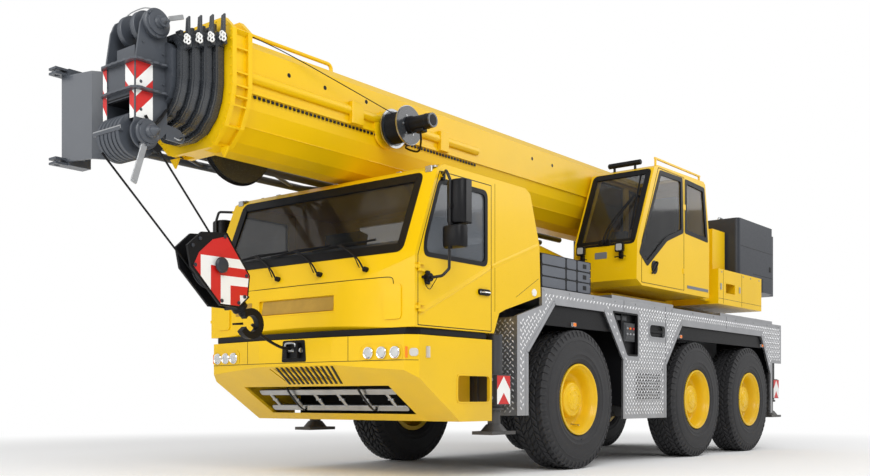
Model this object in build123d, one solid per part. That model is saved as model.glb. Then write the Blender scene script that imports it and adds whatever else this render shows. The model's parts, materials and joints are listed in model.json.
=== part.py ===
"""Three-axle mobile crane with a telescopic boom, parked for the road.

Lengths are in millimetres. While the pieces are drawn, x is measured forwards
from the front axle, y to the left from the middle and z up from the ground.
Each piece is moved by SHIFT_X when it is saved, so that the origin of the
finished crane is at the bottom centre of its box.
"""
from build123d import *
import math
import os

# ---------------------------------------------------------------- driving sizes
NOSE_X = 4430.0            # front of the boom head
TAIL_X = -5570.0           # rear face of the rear outrigger box
SHIFT_X = -(NOSE_X + TAIL_X) / 2
HALF_WIDTH = 1250.0        # side of the carrier's body
DECK_Z = 1730.0            # top of the carrier's deck

AXLES = (0.0, -2750.0, -4400.0)
AXLE_NAMES = ("front", "middle", "rear")
SIDES = (("left", 1), ("right", -1))
TYRE_R = 685.0
TYRE_W = 385.0
RIM_R = 345.0
WHEEL_Y = 1062.0           # middle of a tyre
WHEEL_Z = TYRE_R
KINGPIN_Y = 850.0
FRAME_Y = 400.0            # half width of the chassis box
FRAME_Z = (980.0, 1250.0)
ARCH_Z = 1385.0            # lower edge of the panels above the tyres

SLEW_X = -2720.0
SLEW_R = 640.0
SLEW_Z = 1790.0            # top of the fixed half of the slewing ring

BOOM_PIVOT_X = -4600.0
BOOM_PIVOT_Z = 2950.0
BOOM_PIN_R = 70.0
BOOM_MID_Z = 3045.0        # middle of the boom's section
BOOM_HALF_W = 420.0
BOOM_HALF_H = 405.0
BOOM_TAIL_X = -4900.0
BOOM_COLLAR_X = 3740.0     # front of the base section's collar
COLLAR_STEP = 80.0         # from one collar to the next
COLLAR_LEN = 70.0
TAB_LIFT = 60.0            # height of a collar's tab above its section
SECTION_STEP = 0.08        # each section is this much of the base smaller
SECTION_WALL = 0.03        # wall of a section over the half width of the base
TELE_COUNT = 5
RAIL_Y = 290.0
ADAPTER_X = 4100.0         # rear face of the folding jib's adapter
ADAPTER_Z = (2530.0, 3225.0)    # its lower and upper forks
LEFT_REEL = (1950.0, 3060.0)
RIGHT_REEL = (2880.0, 2925.0)

TILT_PIN = (-3130.0, 1960.0)   # hinge of the operator's cab
TILT_EARS = (590.0, 1090.0)

CYL_FOOT = (-3100.0, 2050.0)
CYL_EYE = (0.0, 2500.0)
CYL_R = 125.0
ROD_R = 85.0

HEAD_X = 4075.0            # rear face of the boom head
HEAD_FRONT_X = 4340.0
HEAD_Y = (-213.0, 173.0)
HEAD_Z = (2700.0, 3110.0)
CHEEK = 18.0               # thickness of the head's side plates
LOWER_SHAFT = (4265.0, 2595.0)
LOWER_SHEAVE_R = 160.0
PACK_COUNT = 6             # lower sheaves
SHEAVE_PITCH = 48.0
ROPE_R = 8.0
UPPER_SHAFT = (4185.0, 3400.0)
UPPER_SHEAVE_R = 115.0
SHAFT_R = 42.0
HOOK_LEAN = 41.0           # slant of the parked hook block from plumb
HOOK_SHEAVE_Z = -1140.0    # sheaves and hook of the block, from the lower shaft
HOOK_Z = -1710.0

OUTRIGGERS = (             # name, middle x, floor and height of the cross box
    ("front", 1300.0, 640.0, 290.0),
    ("rear", -5390.0, 700.0, 290.0),
)
OUTRIGGER_BOX_W = 360.0
BEAM_W = 160.0
JACK_Y = 1130.0
JACK_TUBE_R = 75.0
JACK_LEG_R = 57.0
FIT = 5.0                  # play round a sliding beam
SLIDE_FIT = 0.5            # play under it, and on other runners
EYE_FIT = 0.5              # play round a pin


# ---------------------------------------------------------------- small helpers
def save(shape, name):
    """Write one piece, moved to the finished crane's origin."""
    export_step(Pos(SHIFT_X, 0, 0) * shape, "parts/" + name + ".step")


def block(x0, x1, y0, y1, z0, z1):
    """A box between two corners."""
    middle = Pos((x0 + x1) / 2, (y0 + y1) / 2, (z0 + z1) / 2)
    return middle * Box(x1 - x0, y1 - y0, z1 - z0)


def side_plate(points, y0, y1, grow=0.0):
    """A plate drawn in x and z, grown all round, that reaches from y0 to y1."""
    face = make_face(Polyline(*points, close=True))
    if grow:
        face = offset(face, amount=grow, kind=Kind.INTERSECTION)
    return extrude(Plane.XZ.offset(-y1) * face, amount=y1 - y0)


def cross_plate(points, x0, x1):
    """A plate drawn in y and z that reaches from x0 to x1."""
    face = make_face(Polyline(*points, close=True))
    return extrude(Plane.YZ.offset(x0) * face, amount=x1 - x0)


def flat_plate(points, z0, z1):
    """A plate drawn in x and y that reaches from z0 to z1."""
    face = make_face(Polyline(*points, close=True))
    return extrude(Plane.XY.offset(z0) * face, amount=z1 - z0)


def rod_y(x, y0, y1, z, radius):
    """A round bar across the crane."""
    return Pos(x, (y0 + y1) / 2, z) * Rot(90, 0, 0) * Cylinder(radius, y1 - y0)


def rod_x(x0, x1, y, z, radius):
    """A round bar along the crane."""
    return Pos((x0 + x1) / 2, y, z) * Rot(0, 90, 0) * Cylinder(radius, x1 - x0)


def post(x, y, z0, z1, radius):
    """An upright round bar."""
    return Pos(x, y, (z0 + z1) / 2) * Cylinder(radius, z1 - z0)


def span_y(side, y0, y1):
    """The two y values, in order, of a piece on the left (1) or right (-1)."""
    return (y0, y1) if side > 0 else (-y1, -y0)


def mirrored(shape):
    """A left-hand shape and its right-hand twin."""
    return shape + mirror(shape, Plane.XZ)


def apart(*shapes):
    """Shapes that touch one another and stay separate solids."""
    return Compound([solid for shape in shapes for solid in shape.solids()])


def tube(points, radius):
    """A round tube bent along a few points."""
    path = FilletPolyline(*points, radius=2.5 * radius)
    return sweep(Plane(origin=path @ 0, z_dir=path % 0) * Circle(radius), path)


# ---------------------------------------------------------------- wheels
def spun(profile):
    """Turn an outline of radius and outward distance round the wheel's axis."""
    face = make_face(Polyline(*[(r, 0, y) for r, y in profile], close=True))
    return revolve(face, Axis.Z)


def place_wheel(shape, axle_x, side):
    """Stand a wheel drawn round z, its outer face up, at its axle."""
    return Pos(axle_x, side * WHEEL_Y, WHEEL_Z) * Rot(-90 * side, 0, 0) * shape


def make_tyre():
    half = TYRE_W / 2
    return spun([
        (RIM_R, -half + 45), (RIM_R + 60, -half + 6), (520, -half), (620, -half + 12),
        (TYRE_R, -half + 38), (TYRE_R, half - 38), (620, half - 12), (520, half),
        (RIM_R + 60, half - 6), (RIM_R, half - 45),
    ])


def make_rim():
    half = TYRE_W / 2
    return spun([
        (92, -20), (92, 72), (0, 72), (0, 96), (150, 96), (168, 78), (172, 30), (236, 34),
        (262, 60),
        (300, half - 58), (318, half - 30), (RIM_R, half - 30), (RIM_R, -half + 30),
        (300, -half + 30), (300, 10), (250, -20),
    ])


def make_knuckle(side):
    """King pin, wheel spindle and steering arm, round the wheel's own middle."""
    y_pin = side * (KINGPIN_Y - WHEEL_Y)
    body = Pos(0, y_pin, 0) * Box(120, 110, 210)
    pin = post(0, y_pin, -165, 165, 32)
    y0, y1 = span_y(side, KINGPIN_Y - WHEEL_Y, 66)
    spindle = rod_y(0, y0, y1, 0, 91.5)
    arm = block(-260, -60, *span_y(side, KINGPIN_Y - WHEEL_Y - 15, KINGPIN_Y - WHEEL_Y + 25), -60, -25)
    return body + pin + spindle + arm


def wheels():
    tyre = make_tyre()
    rim = make_rim()
    for name, axle_x in zip(AXLE_NAMES, AXLES):
        for side_name, side in SIDES:
            tag = name + "_" + side_name
            save(place_wheel(tyre, axle_x, side), "tyre_" + tag)
            save(place_wheel(rim, axle_x, side), "rim_" + tag)
            knuckle = Pos(axle_x, side * WHEEL_Y, WHEEL_Z) * make_knuckle(side)
            save(knuckle, "knuckle_" + tag)


def drivetrain():
    """Axle beams with their king-pin yokes, and the engine as one plain block."""
    pieces = block(-700, 690, -360, 360, FRAME_Z[1], 1640)
    for axle_x in AXLES:
        housing = rod_y(axle_x, -760, 760, WHEEL_Z, 95) + rod_y(axle_x, -190, 190, WHEEL_Z, 215)
        housing = housing + mirrored(block(axle_x - 60, axle_x + 60, 240, 330, WHEEL_Z, FRAME_Z[0]))
        for side in (1, -1):
            for lift in (-1, 1):
                lug = block(axle_x - 70, axle_x + 70, *span_y(side, 700, 905),
                            WHEEL_Z + lift * 145 - 30, WHEEL_Z + lift * 145 + 30)
                bore = post(axle_x, side * KINGPIN_Y, WHEEL_Z - 300, WHEEL_Z + 300, 32 + EYE_FIT)
                housing = housing + (lug - bore)
            housing = housing + block(axle_x - 70, axle_x + 70, *span_y(side, 700, 765),
                                      WHEEL_Z - 175, WHEEL_Z + 175)
        pieces = pieces + housing
    save(pieces, "drivetrain")


# ---------------------------------------------------------------- chassis
def chassis_frame():
    """Box frame with the slewing ring's seat and the outrigger cross boxes."""
    frame = block(-5300, 2250, -FRAME_Y, FRAME_Y, *FRAME_Z) \
        - block(-5200, 2200, -FRAME_Y + 20, FRAME_Y - 20, FRAME_Z[0] + 20, FRAME_Z[1] - 20)
    seat = block(SLEW_X - 780, SLEW_X + 780, -620, 620, FRAME_Z[1], DECK_Z - 30)
    ring = post(SLEW_X, 0, DECK_Z - 30, SLEW_Z, SLEW_R) - post(SLEW_X, 0, 1600, 1900, SLEW_R - 150)
    frame = frame + seat + ring
    for x in (1600, 2120):
        frame = frame + mirrored(block(x, x + 90, 250, 350, FRAME_Z[1], CAB_FLOOR_Z))
    for name, middle_x, floor_z, height in OUTRIGGERS:
        half = OUTRIGGER_BOX_W / 2
        outer = block(middle_x - half, middle_x + half, -1030, 1030, floor_z, floor_z + height)
        neck = block(middle_x - half, middle_x + half, -FRAME_Y, FRAME_Y, floor_z, FRAME_Z[1])
        frame = frame + outer + neck
    for name, middle_x, floor_z, height in OUTRIGGERS:
        for shift in (-1, 1):
            x = middle_x + shift * (BEAM_W / 2 + 7)
            frame = frame - block(x - BEAM_W / 2 - FIT, x + BEAM_W / 2 + FIT, -1100, 1100,
                                  floor_z + 12, floor_z + height - 12)
    save(frame, "chassis_frame")


def outriggers():
    """Four cross beams with their jack tubes, and the jack legs with round pads."""
    for name, middle_x, floor_z, height in OUTRIGGERS:
        for side_name, side in SIDES:
            tag = name + "_" + side_name
            x = middle_x + side * (BEAM_W / 2 + 7)
            beam = block(x - BEAM_W / 2, x + BEAM_W / 2,
                         *span_y(side, -1020, JACK_Y - JACK_TUBE_R + 12),
                         floor_z + 12 + SLIDE_FIT, floor_z + height - 12 - FIT)
            jack_y = side * JACK_Y
            sleeve = post(middle_x, jack_y, floor_z - 20, floor_z + 620, JACK_TUBE_R)
            head = block(middle_x - 150, middle_x + 150,
                         *span_y(side, 1040, JACK_Y + 70), floor_z + 20, floor_z + height - 20)
            board = block(middle_x - 105, middle_x + 105,
                          *span_y(side, JACK_Y + 70, JACK_Y + 105), floor_z, floor_z + 260)
            bore = post(middle_x, jack_y, floor_z - 40, floor_z + 600, JACK_LEG_R + EYE_FIT)
            save(beam + head + sleeve + board - bore, "outrigger_beam_" + tag)
            pad_z = floor_z - 265
            leg = post(middle_x, jack_y, pad_z + 60, floor_z + 560, JACK_LEG_R)
            pad = block(middle_x - 180, middle_x + 180, jack_y - 110, jack_y + 110,
                        pad_z, pad_z + 30)
            boss = Pos(middle_x, jack_y, pad_z + 60) * Cone(120, 70, 60)
            save(leg + pad + boss, "jack_" + tag)


# ---------------------------------------------------------------- deck and skirts
SKIRT_OUTLINE = (          # x and z of the left side plate, round from the front
    (700, DECK_Z), (700, 1560), (1110, 1440), (1110, 540), (950, 540), (950, 1120),
    (480, 1600), (-480, 1600), (-890, 1110), (-890, 480), (-1870, 480), (-1870, 1080),
    (-2290, 1560), (-4800, 1560), (-5150, 1040), (-5150, 500), (-5200, 500),
    (-5200, 1190), (-5540, 1190), (-5540, DECK_Z),
)
SKIRT_Y = HALF_WIDTH - 30


def side_skirts():
    """Chequered side plates with the arches, a control recess and a slot."""
    plate = side_plate(SKIRT_OUTLINE, SKIRT_Y, HALF_WIDTH)
    plate = plate - side_plate([(-650, 1600), (-1200, 1600), (-1200, 1150), (-975, 1150)],
                               SKIRT_Y - 10, HALF_WIDTH + 10)
    plate = plate - block(-1860, -1480, SKIRT_Y - 10, HALF_WIDTH + 10, 1375, 1510)
    front_wall = block(1090, 1110, 700, SKIRT_Y, 540, 1430)
    save(mirrored(plate + front_wall), "side_skirts")


def deck():
    """Chequered deck with a round hole for the slewing ring and raised lids."""
    plate = block(-5540, 700, -SKIRT_Y, SKIRT_Y, 1700, DECK_Z)
    plate = plate - post(SLEW_X, 0, 1600, 1900, 800)
    for x0, x1 in ((-2150, -700), (-5300, -3500)):
        plate = plate + mirrored(block(x0, x1, SKIRT_Y - 210, SKIRT_Y - 10, DECK_Z, DECK_Z + 45))
    plate = plate + block(-5540, -5515, -SKIRT_Y, SKIRT_Y, FRAME_Z[1], 1700)
    save(plate, "deck")


def arch_panels():
    """Dark panels above the tyres, cross walls of the arches and the recess box."""
    walls = block(-910, -890, FRAME_Y + 25, SKIRT_Y, 620, 1690)
    walls = walls + block(-1870, -1850, FRAME_Y + 25, SKIRT_Y, 620, 1690)
    walls = walls + block(-5250, -5230, FRAME_Y + 25, SKIRT_Y, 1060, 1690)
    front = side_plate([(700, ARCH_Z), (480, 1620), (-480, 1620), (-680, ARCH_Z)], SKIRT_Y - 30, SKIRT_Y)
    rear = side_plate([(-2120, ARCH_Z), (-2300, 1620), (-4820, 1620), (-4980, ARCH_Z)],
                      SKIRT_Y - 30, SKIRT_Y)
    recess = block(-1230, -890, SKIRT_Y - 170, SKIRT_Y - 20, 1120, 1640)
    ties = block(950, 970, FRAME_Y + 25, SKIRT_Y, 560, 1440)
    save(mirrored(walls + front + rear + recess + ties), "wheel_arch_panels")


def support_mats():
    """Four layers of ribbed support mats stowed on the deck, left and right."""
    stack = block(-300, 620, 560, 1190, DECK_Z, DECK_Z + 12)
    for layer in range(4):
        z = DECK_Z + 12 + layer * 82
        stack = stack + block(-300, 620, 560, 1190, z + 6, z + 76)
        stack = stack + block(-280, 600, 580, 1170, z - 1, z + 83)
    for x in (-90, 130, 350):
        stack = stack - block(x - 12, x + 12, 1170, 1200, DECK_Z, DECK_Z + 400)
    save(mirrored(stack), "support_mats")


# ---------------------------------------------------------------- front bumper
BUMPER_PLAN = ((1500, -HALF_WIDTH), (2480, -HALF_WIDTH), (2575, 80 - HALF_WIDTH), (2655, -450), (2655, 450),
               (2575, HALF_WIDTH - 80), (2480, HALF_WIDTH), (1500, HALF_WIDTH))
LAMP_Y = (830, 960, 1090)
LAMP_Z = 1060.0
LAMP_R = 45.0
BUMPER_SIDE = ((1480, 1200), (2700, 1200), (2700, 1000), (1950, 500), (1480, 500))


def front_bumper():
    """Hollow front end with a raked lower face, side steps and a towing jaw."""
    outer = flat_plate(BUMPER_PLAN, 480, 1210) & side_plate(BUMPER_SIDE, -1260, 1260)
    inner_plan = [(1400 if x < 1600 else x - 30, y - math.copysign(30, y)) for x, y in BUMPER_PLAN]
    inner_side = ((1400, 1230), (2700, 1230), (2700, 1020), (1935, 530), (1400, 530))
    shell = outer - (flat_plate(inner_plan, 490, 1240) & side_plate(inner_side, -1260, 1260))
    shell = shell - block(1900, 2450, -950, 850, 560, 800)
    shell = shell - mirrored(block(1530, 1990, HALF_WIDTH - 50, HALF_WIDTH + 10, 660, 890))
    for count in range(11):
        y = -260 + 60 * count
        shell = shell - Pos(2480, y - 60, 905) * Rot(18, 0, 0) * Box(300, 16, 115)
    steps = block(1520, 2000, HALF_WIDTH - 240, HALF_WIDTH - 25, 890, 925) \
        + block(1520, 1900, HALF_WIDTH - 240, HALF_WIDTH - 25, 600, 640)
    jaw = block(2630, 2700, -85, -45, 1040, 1165) + block(2630, 2700, 45, 85, 1040, 1165)
    jaw = jaw + block(2600, 2640, -120, 120, 1030, 1170)
    jaw = jaw - rod_y(2672, -150, 150, 1102, 16)
    carrier = block(2250, 2640, 300, 360, 1020, 1180)
    shell = shell + mirrored(steps + carrier) + jaw
    for y in LAMP_Y:
        shell = shell - mirrored(rod_x(2450, 2700, y, LAMP_Z, LAMP_R + 0.3))
    save(shell, "front_bumper")


def lamps():
    """Head lamps, side markers and rear lamp clusters."""
    pieces = None
    for y in LAMP_Y:
        front_x = 2655 - 80 * (y - 450) / 720
        lamp = rod_x(front_x - 50, front_x + 14, y, LAMP_Z, LAMP_R)
        pieces = lamp if pieces is None else pieces + lamp
    pieces = pieces + block(2360, 2400, HALF_WIDTH, HALF_WIDTH + 12, 1020, 1110)
    for x, z in ((100, 1415), (-2290, 1415), (-4850, 1415)):
        pieces = pieces + block(x - 30, x + 30, SKIRT_Y, SKIRT_Y + 22, z - 20, z + 20)
    pieces = pieces + block(-5560, -5540, 780, 1120, 1330, 1450)
    save(mirrored(pieces), "lamps")


# ---------------------------------------------------------------- carrier cab
CAB_FLOOR_Z = 1260.0
CAB_SIDE = (               # x and z of the cab's outline, from the front bottom
    (2560, CAB_FLOOR_Z), (2600, 1300), (2590, 1640), (2530, 1860), (2250, 2550), (2170, 2600),
    (980, 2600), (900, 2560), (745, 2110), (725, 1640), (1290, 1480), (1390, 1440),
    (1470, CAB_FLOOR_Z),
)
CAB_WALL = 45.0
CAB_BOW = 60.0             # how far the front bows forwards in the middle
DOOR_GAP = 4.0
CAB_DOOR = ((1510, 1275), (2500, 1275), (2500, 1830), (2225, 2535), (1510, 2535))
CAB_DOOR_GLASS = ((1590, 1850), (2405, 1850), (2400, 1960), (2215, 2455), (1590, 2455))
CAB_SCREEN_Z = (1880, 2520)


def cab_plan(by, z0, z1):
    """The cab seen from above: flat sides and a slightly bowed front."""
    half = HALF_WIDTH - by
    front = 2600 - by
    corner = front - CAB_BOW
    lines = Polyline((corner, half), (600, half), (600, -half), (corner, -half))
    nose = ThreePointArc((corner, -half), (front, 0), (corner, half))
    return extrude(Plane.XY.offset(z0) * make_face([lines, nose]), amount=z1 - z0)


def cab_body(by):
    """The cab's closed outer form, moved inwards by a distance."""
    return side_plate(CAB_SIDE, -HALF_WIDTH + by, HALF_WIDTH - by, -by) & cab_plan(by, 1200, 2650)


DOOR_PIN = (2503.0, HALF_WIDTH + 15)   # hinge line of the left door
DOOR_PIN_R = 7.0
DOOR_HINGE_Z = (1380.0, 1700.0)


def door_straps(side):
    """Pins of a door's hinges with their straps."""
    pieces = None
    y_range = span_y(side, HALF_WIDTH - 5, DOOR_PIN[1] + DOOR_PIN_R)
    for z in DOOR_HINGE_Z:
        strap = block(DOOR_PIN[0] - 63, DOOR_PIN[0], *y_range, z, z + 20)
        strap = strap + block(DOOR_PIN[0] - 63, DOOR_PIN[0], *y_range, z + 50, z + 70)
        strap = strap + post(DOOR_PIN[0], side * DOOR_PIN[1], z, z + 70, DOOR_PIN_R)
        pieces = strap if pieces is None else pieces + strap
    return pieces


def door_eyes():
    """Eyes of the left door's hinges, fixed to the shell."""
    pieces = None
    for z in DOOR_HINGE_Z:
        eye = post(*DOOR_PIN, z + 22, z + 48, 12)
        eye = eye + block(DOOR_PIN[0] + 5, DOOR_PIN[0] + 32, HALF_WIDTH - 11, DOOR_PIN[1] + 5, z + 22, z + 48)
        eye = eye - post(*DOOR_PIN, z, z + 70, DOOR_PIN_R + EYE_FIT)
        pieces = eye if pieces is None else pieces + eye
    return pieces


def carrier_cab():
    """Shell, doors, panes and seats of the driving cab."""
    shell = cab_body(0) - cab_body(CAB_WALL)
    door_hole = side_plate(CAB_DOOR, HALF_WIDTH - 150, HALF_WIDTH + 50, DOOR_GAP)
    screen = block(2100, 2700, -1080, 1080, *CAB_SCREEN_Z)
    rear_pane = block(700, 1000, -900, 900, 2180, 2480)
    body = shell - mirrored(door_hole) - screen - rear_pane
    recess = block(2570, 2700, -520, 420, 1420, 1560)
    save(body - recess + mirrored(door_eyes()), "cab_shell")

    skin = cab_body(12) - cab_body(20)
    panes = skin & block(2100, 2700, -1079.5, 1079.5, CAB_SCREEN_Z[0] + 0.5, CAB_SCREEN_Z[1] - 0.5)
    panes = panes + (skin & block(700, 1000, -899.5, 899.5, 2180.5, 2479.5))
    save(panes, "cab_glass")

    for side_name, side in SIDES:
        y_range = span_y(side, HALF_WIDTH - 100, HALF_WIDTH + 50)
        door = (shell & side_plate(CAB_DOOR, *y_range)) - side_plate(CAB_DOOR_GLASS, *y_range)
        y_face = span_y(side, HALF_WIDTH, HALF_WIDTH + 22)
        door = door + block(1560, 1690, *y_face, 1585, 1615)
        half = HALF_WIDTH
        path = ((2400, half - 15, 1650), (2380, half + 150, 1660), (2330, half + 180, 1720),
                (2330, half + 190, 2420), (2330, half + 150, 2500), (2190, half - 15, 2495))
        arm = tube([(x, side * y, z) for x, y, z in path], 12)
        main = block(2200, 2270, *span_y(side, half + 130, half + 305), 2090, 2420)
        wide = block(2250, 2320, *span_y(side, half + 110, half + 290), 1900, 2060)
        link = block(2230, 2345, *span_y(side, half + 175, half + 205), 1970, 2000) \
            + block(2230, 2345, *span_y(side, half + 175, half + 205), 2200, 2230)
        save(door + arm + main + wide + link + door_straps(side), "cab_door_" + side_name)
        pane = side_plate(CAB_DOOR_GLASS, *span_y(side, HALF_WIDTH - 20, HALF_WIDTH - 12), -0.5)
        save(pane, "cab_door_glass_" + side_name)

    seats = None
    for y in (-560, 560):
        seat = block(1500, 1980, y - 240, y + 240, 1600, 1730)
        back = Pos(1480, y, 1990) * Rot(0, -10, 0) * Box(120, 460, 640)
        stand = block(1600, 1880, y - 150, y + 150, 1305, 1600)
        seat = seat + back + stand
        seats = seat if seats is None else seats + seat
    dash = block(2160, 2440, -980, 980, 1480, 1790) + block(2250, 2400, -300, 300, 1305, 1480)
    column = Pos(2110, 560, 1850) * Rot(0, 55, 0) * (Torus(215, 16) + Box(400, 40, 14)
                                                    + Box(40, 400, 14))
    column = column + (Pos(2190, 560, 1770) * Rot(0, 55 , 0) * Cylinder(30, 260))
    save(seats + dash + column, "cab_interior")


# ---------------------------------------------------------------- superstructure
TOWER = ((-5000, 1900), (-5000, 2600), (-4840, 3130), (-4700, 3190), (-4480, 3190),
         (-4300, 3080), (-3600, 2330), (-3350, 2250), (-3120, 1900))


def superstructure_frame():
    """Turning platform, boom tower, cylinder foot and the boxes at its sides."""
    platform = post(SLEW_X, 0, SLEW_Z + SLIDE_FIT, 1840, 640) \
        + block(-5000, -1700, -490, 490, 1840, 1900)
    cheek = side_plate(TOWER, 440, 490)
    wing = block(-4790, -3350, 490, HALF_WIDTH, 1880, 2320)
    pocket = block(-3880, -3570, 900, HALF_WIDTH + 10, 2020, 2160)
    foot = block(CYL_FOOT[0] - 160, CYL_FOOT[0] + 160, 80, 130, 1900, CYL_FOOT[1] + 110)
    cab_arm = block(-3060, -1500, 490, 760, 1842, 1892)
    frame = platform + mirrored(cheek + wing + foot - pocket) + cab_arm
    frame = frame + block(-5000, -4950, -440, 440, 1900, 2400)
    frame = frame + mirrored(rod_y(BOOM_PIVOT_X, 408, 520, BOOM_PIVOT_Z, BOOM_PIN_R))
    frame = frame + rod_y(CYL_FOOT[0], -140, 140, CYL_FOOT[1], 50)
    frame = frame + block(-3950, -3560, 520, 1080, 2320, 2860)
    for y in TILT_EARS:
        ear = block(-3350, TILT_PIN[0] + 45, y, y + 40, TILT_PIN[1] - 45, TILT_PIN[1] + 45)
        frame = frame + (ear - rod_y(TILT_PIN[0], y - 10, y + 50, TILT_PIN[1], 20 + EYE_FIT))
    save(frame, "superstructure_frame")


def counterweight():
    """Cast blocks beside the tower and a cross block behind it."""
    side = block(-5230, -4000, 530, HALF_WIDTH, 2320, 3050)
    low = block(-5230, -4800, 530, HALF_WIDTH, 2140, 2320)
    side = fillet((side + low).edges().filter_by(Axis.Z).sort_by(Axis.Y)[-4:], 60)
    rear = block(-5480, -5230, -1180, 1180, 2140, 2980)
    rear = fillet(rear.edges().filter_by(Axis.Z).sort_by(Axis.X)[:2], 70)
    save(mirrored(side) + rear, "counterweight")


def hoist_drum():
    """Rope drum between the tower's cheeks, with its flanges."""
    drum = rod_y(-4560, -330, 330, 2180, 160)
    for y in (-345, 325):
        drum = drum + rod_y(-4560, y, y + 20, 2180, 245)
    drum = drum + rod_y(-4560, -440, 440, 2180, 60)
    save(drum, "hoist_drum")


# ---------------------------------------------------------------- operator's cab
OP_SIDE = ((-1170, 1985), (-1190, 2410), (-1590, 3260), (-1680, 3300), (-2900, 3320),
           (-2950, 3290), (-3070, 2660), (-3060, 1925), (-1300, 1925))
OP_Y = (470.0, HALF_WIDTH)
OP_WALL = 40.0
OP_WINDOWS = (
    ((-1740, 3230), (-2290, 3240), (-2310, 2640), (-1900, 2500), (-1420, 2170), (-1260, 2280)),
    ((-2400, 3240), (-2900, 3225), (-3000, 2620), (-2400, 2650)),
)


def op_body(by):
    """The cab's closed outer form, moved inwards by a distance."""
    return side_plate(OP_SIDE, OP_Y[0] + by, OP_Y[1] - by, -by)


def operator_cab():
    """Shell, door, panes and seat of the tilting operator's cab."""
    shell = op_body(0) - op_body(OP_WALL)
    windows = None
    for outline in OP_WINDOWS:
        hole = side_plate(outline, OP_Y[0] - 10, OP_Y[1] + 10)
        windows = hole if windows is None else windows + hole
    screen = block(-1750, -1100, OP_Y[0] + 55, OP_Y[1] - 55, 2400, 3230)
    roof_hole = block(-2500, -1780, OP_Y[0] + 90, OP_Y[1] - 90, 3240, 3400)
    door_line = ((-1290, 1960), (-2350, 1960), (-2350, 3275), (-1690, 3275), (-1290, 2400))
    door_zone = side_plate(door_line, OP_Y[1] - OP_WALL - 5, OP_Y[1] + 10)
    door_gap = side_plate(door_line, OP_Y[1] - OP_WALL - 5, OP_Y[1] + 10, DOOR_GAP)
    body = shell - windows - screen - roof_hole - door_gap
    rail = block(-2900, -1700, OP_Y[1] - 60, OP_Y[1] - 40, 3380, 3400)
    for x in (-2880, -1720):
        rail = rail + block(x - 10, x + 10, OP_Y[1] - 60, OP_Y[1] - 40, 3290, 3400)
    for z in (2150, 2900):
        rail = rail + block(-2385, -2320, OP_Y[1], OP_Y[1] + 8, z, z + 60)
    for y in TILT_EARS:
        lug = block(TILT_PIN[0] - 40, -3050, y + 46, y + 86, TILT_PIN[1] - 40, TILT_PIN[1] + 40)
        rail = rail + lug + rod_y(TILT_PIN[0], y - 15, y + 86, TILT_PIN[1], 20)
    save(body + rail, "operator_cab_shell")
    save((shell & door_zone) - windows, "operator_cab_door")

    skin = op_body(10) - op_body(17)
    panes = skin & block(-1750, -1100, OP_Y[0] + 55.5, OP_Y[1] - 55.5, 2400.5, 3229.5)
    panes = panes + (skin & block(-2499.5, -1780.5, OP_Y[0] + 90.5, OP_Y[1] - 90.5, 3240, 3400))
    for outline in OP_WINDOWS:
        panes = panes + (skin & side_plate(outline, OP_Y[0] - 10, OP_Y[1] + 10, -0.5))
    save(panes, "operator_cab_glass")

    y = sum(OP_Y) / 2
    seat = block(-2500, -2020, y - 230, y + 230, 2350, 2480)
    seat = seat + Pos(-2520, y, 2780) * Rot(0, -8, 0) * Box(110, 440, 640)
    seat = seat + block(-2400, -2120, y - 140, y + 140, 1965, 2350)
    seat = seat + block(-1500, -1420, y - 120, y + 120, 1965, 2560)
    save(seat, "operator_cab_interior")


# ---------------------------------------------------------------- boom
BOOM_SECTION = (           # right half of the section over the half sizes
    (0.80, 1.0), (1.0, 0.80), (1.0, -0.05), (0.95, -0.35), (0.81, -0.65), (0.55, -0.90), (0.22, -1.0),
)


def section_points(scale, grow=0.0):
    """The boom's section in y and z, at a scale and moved outwards."""
    right = [(-(BOOM_HALF_W * scale + grow) * a, BOOM_MID_Z + (BOOM_HALF_H * scale + grow) * b)
             for a, b in BOOM_SECTION]
    left = [(-y, z) for y, z in reversed(right)]
    return right + left


def section_tube(scale, x0, x1, grow=0.0):
    """A hollow length of boom."""
    outer = cross_plate(section_points(scale, grow), x0, x1)
    return outer - cross_plate(section_points(scale - SECTION_WALL), x0 - 5, x1 + 5)


def slide_pad(scale, x1):
    """Pad in the mouth of a section, under the next section's floor."""
    low = BOOM_MID_Z - BOOM_HALF_H * (scale - SECTION_WALL)
    high = BOOM_MID_Z - BOOM_HALF_H * (scale - SECTION_STEP) - SLIDE_FIT
    return block(x1 - 80, x1, -50, 50, low, high)


def eye_cylinder():
    """Direction of the lifting cylinder in x and z, and its closed length."""
    dx = CYL_EYE[0] - CYL_FOOT[0]
    dz = CYL_EYE[1] - CYL_FOOT[1]
    return math.degrees(math.atan2(dz, dx)), math.hypot(dx, dz)


def boom_base():
    """Base section with its collar, cylinder lugs, reels and pivot bushing."""
    body = section_tube(1.0, BOOM_TAIL_X, BOOM_COLLAR_X)
    foot = block(BOOM_PIVOT_X - 200, BOOM_PIVOT_X + 250, -434, 434,
                 BOOM_PIVOT_Z - 190, BOOM_PIVOT_Z + 150)
    inner = cross_plate(section_points(1.0 - SECTION_WALL), BOOM_TAIL_X - 10, BOOM_COLLAR_X + 10)
    body = body + (foot - inner)
    body = body - rod_y(BOOM_PIVOT_X, -450, 450, BOOM_PIVOT_Z, BOOM_PIN_R + EYE_FIT)
    save(body + slide_pad(1.0, BOOM_COLLAR_X), "boom_base")


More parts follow.
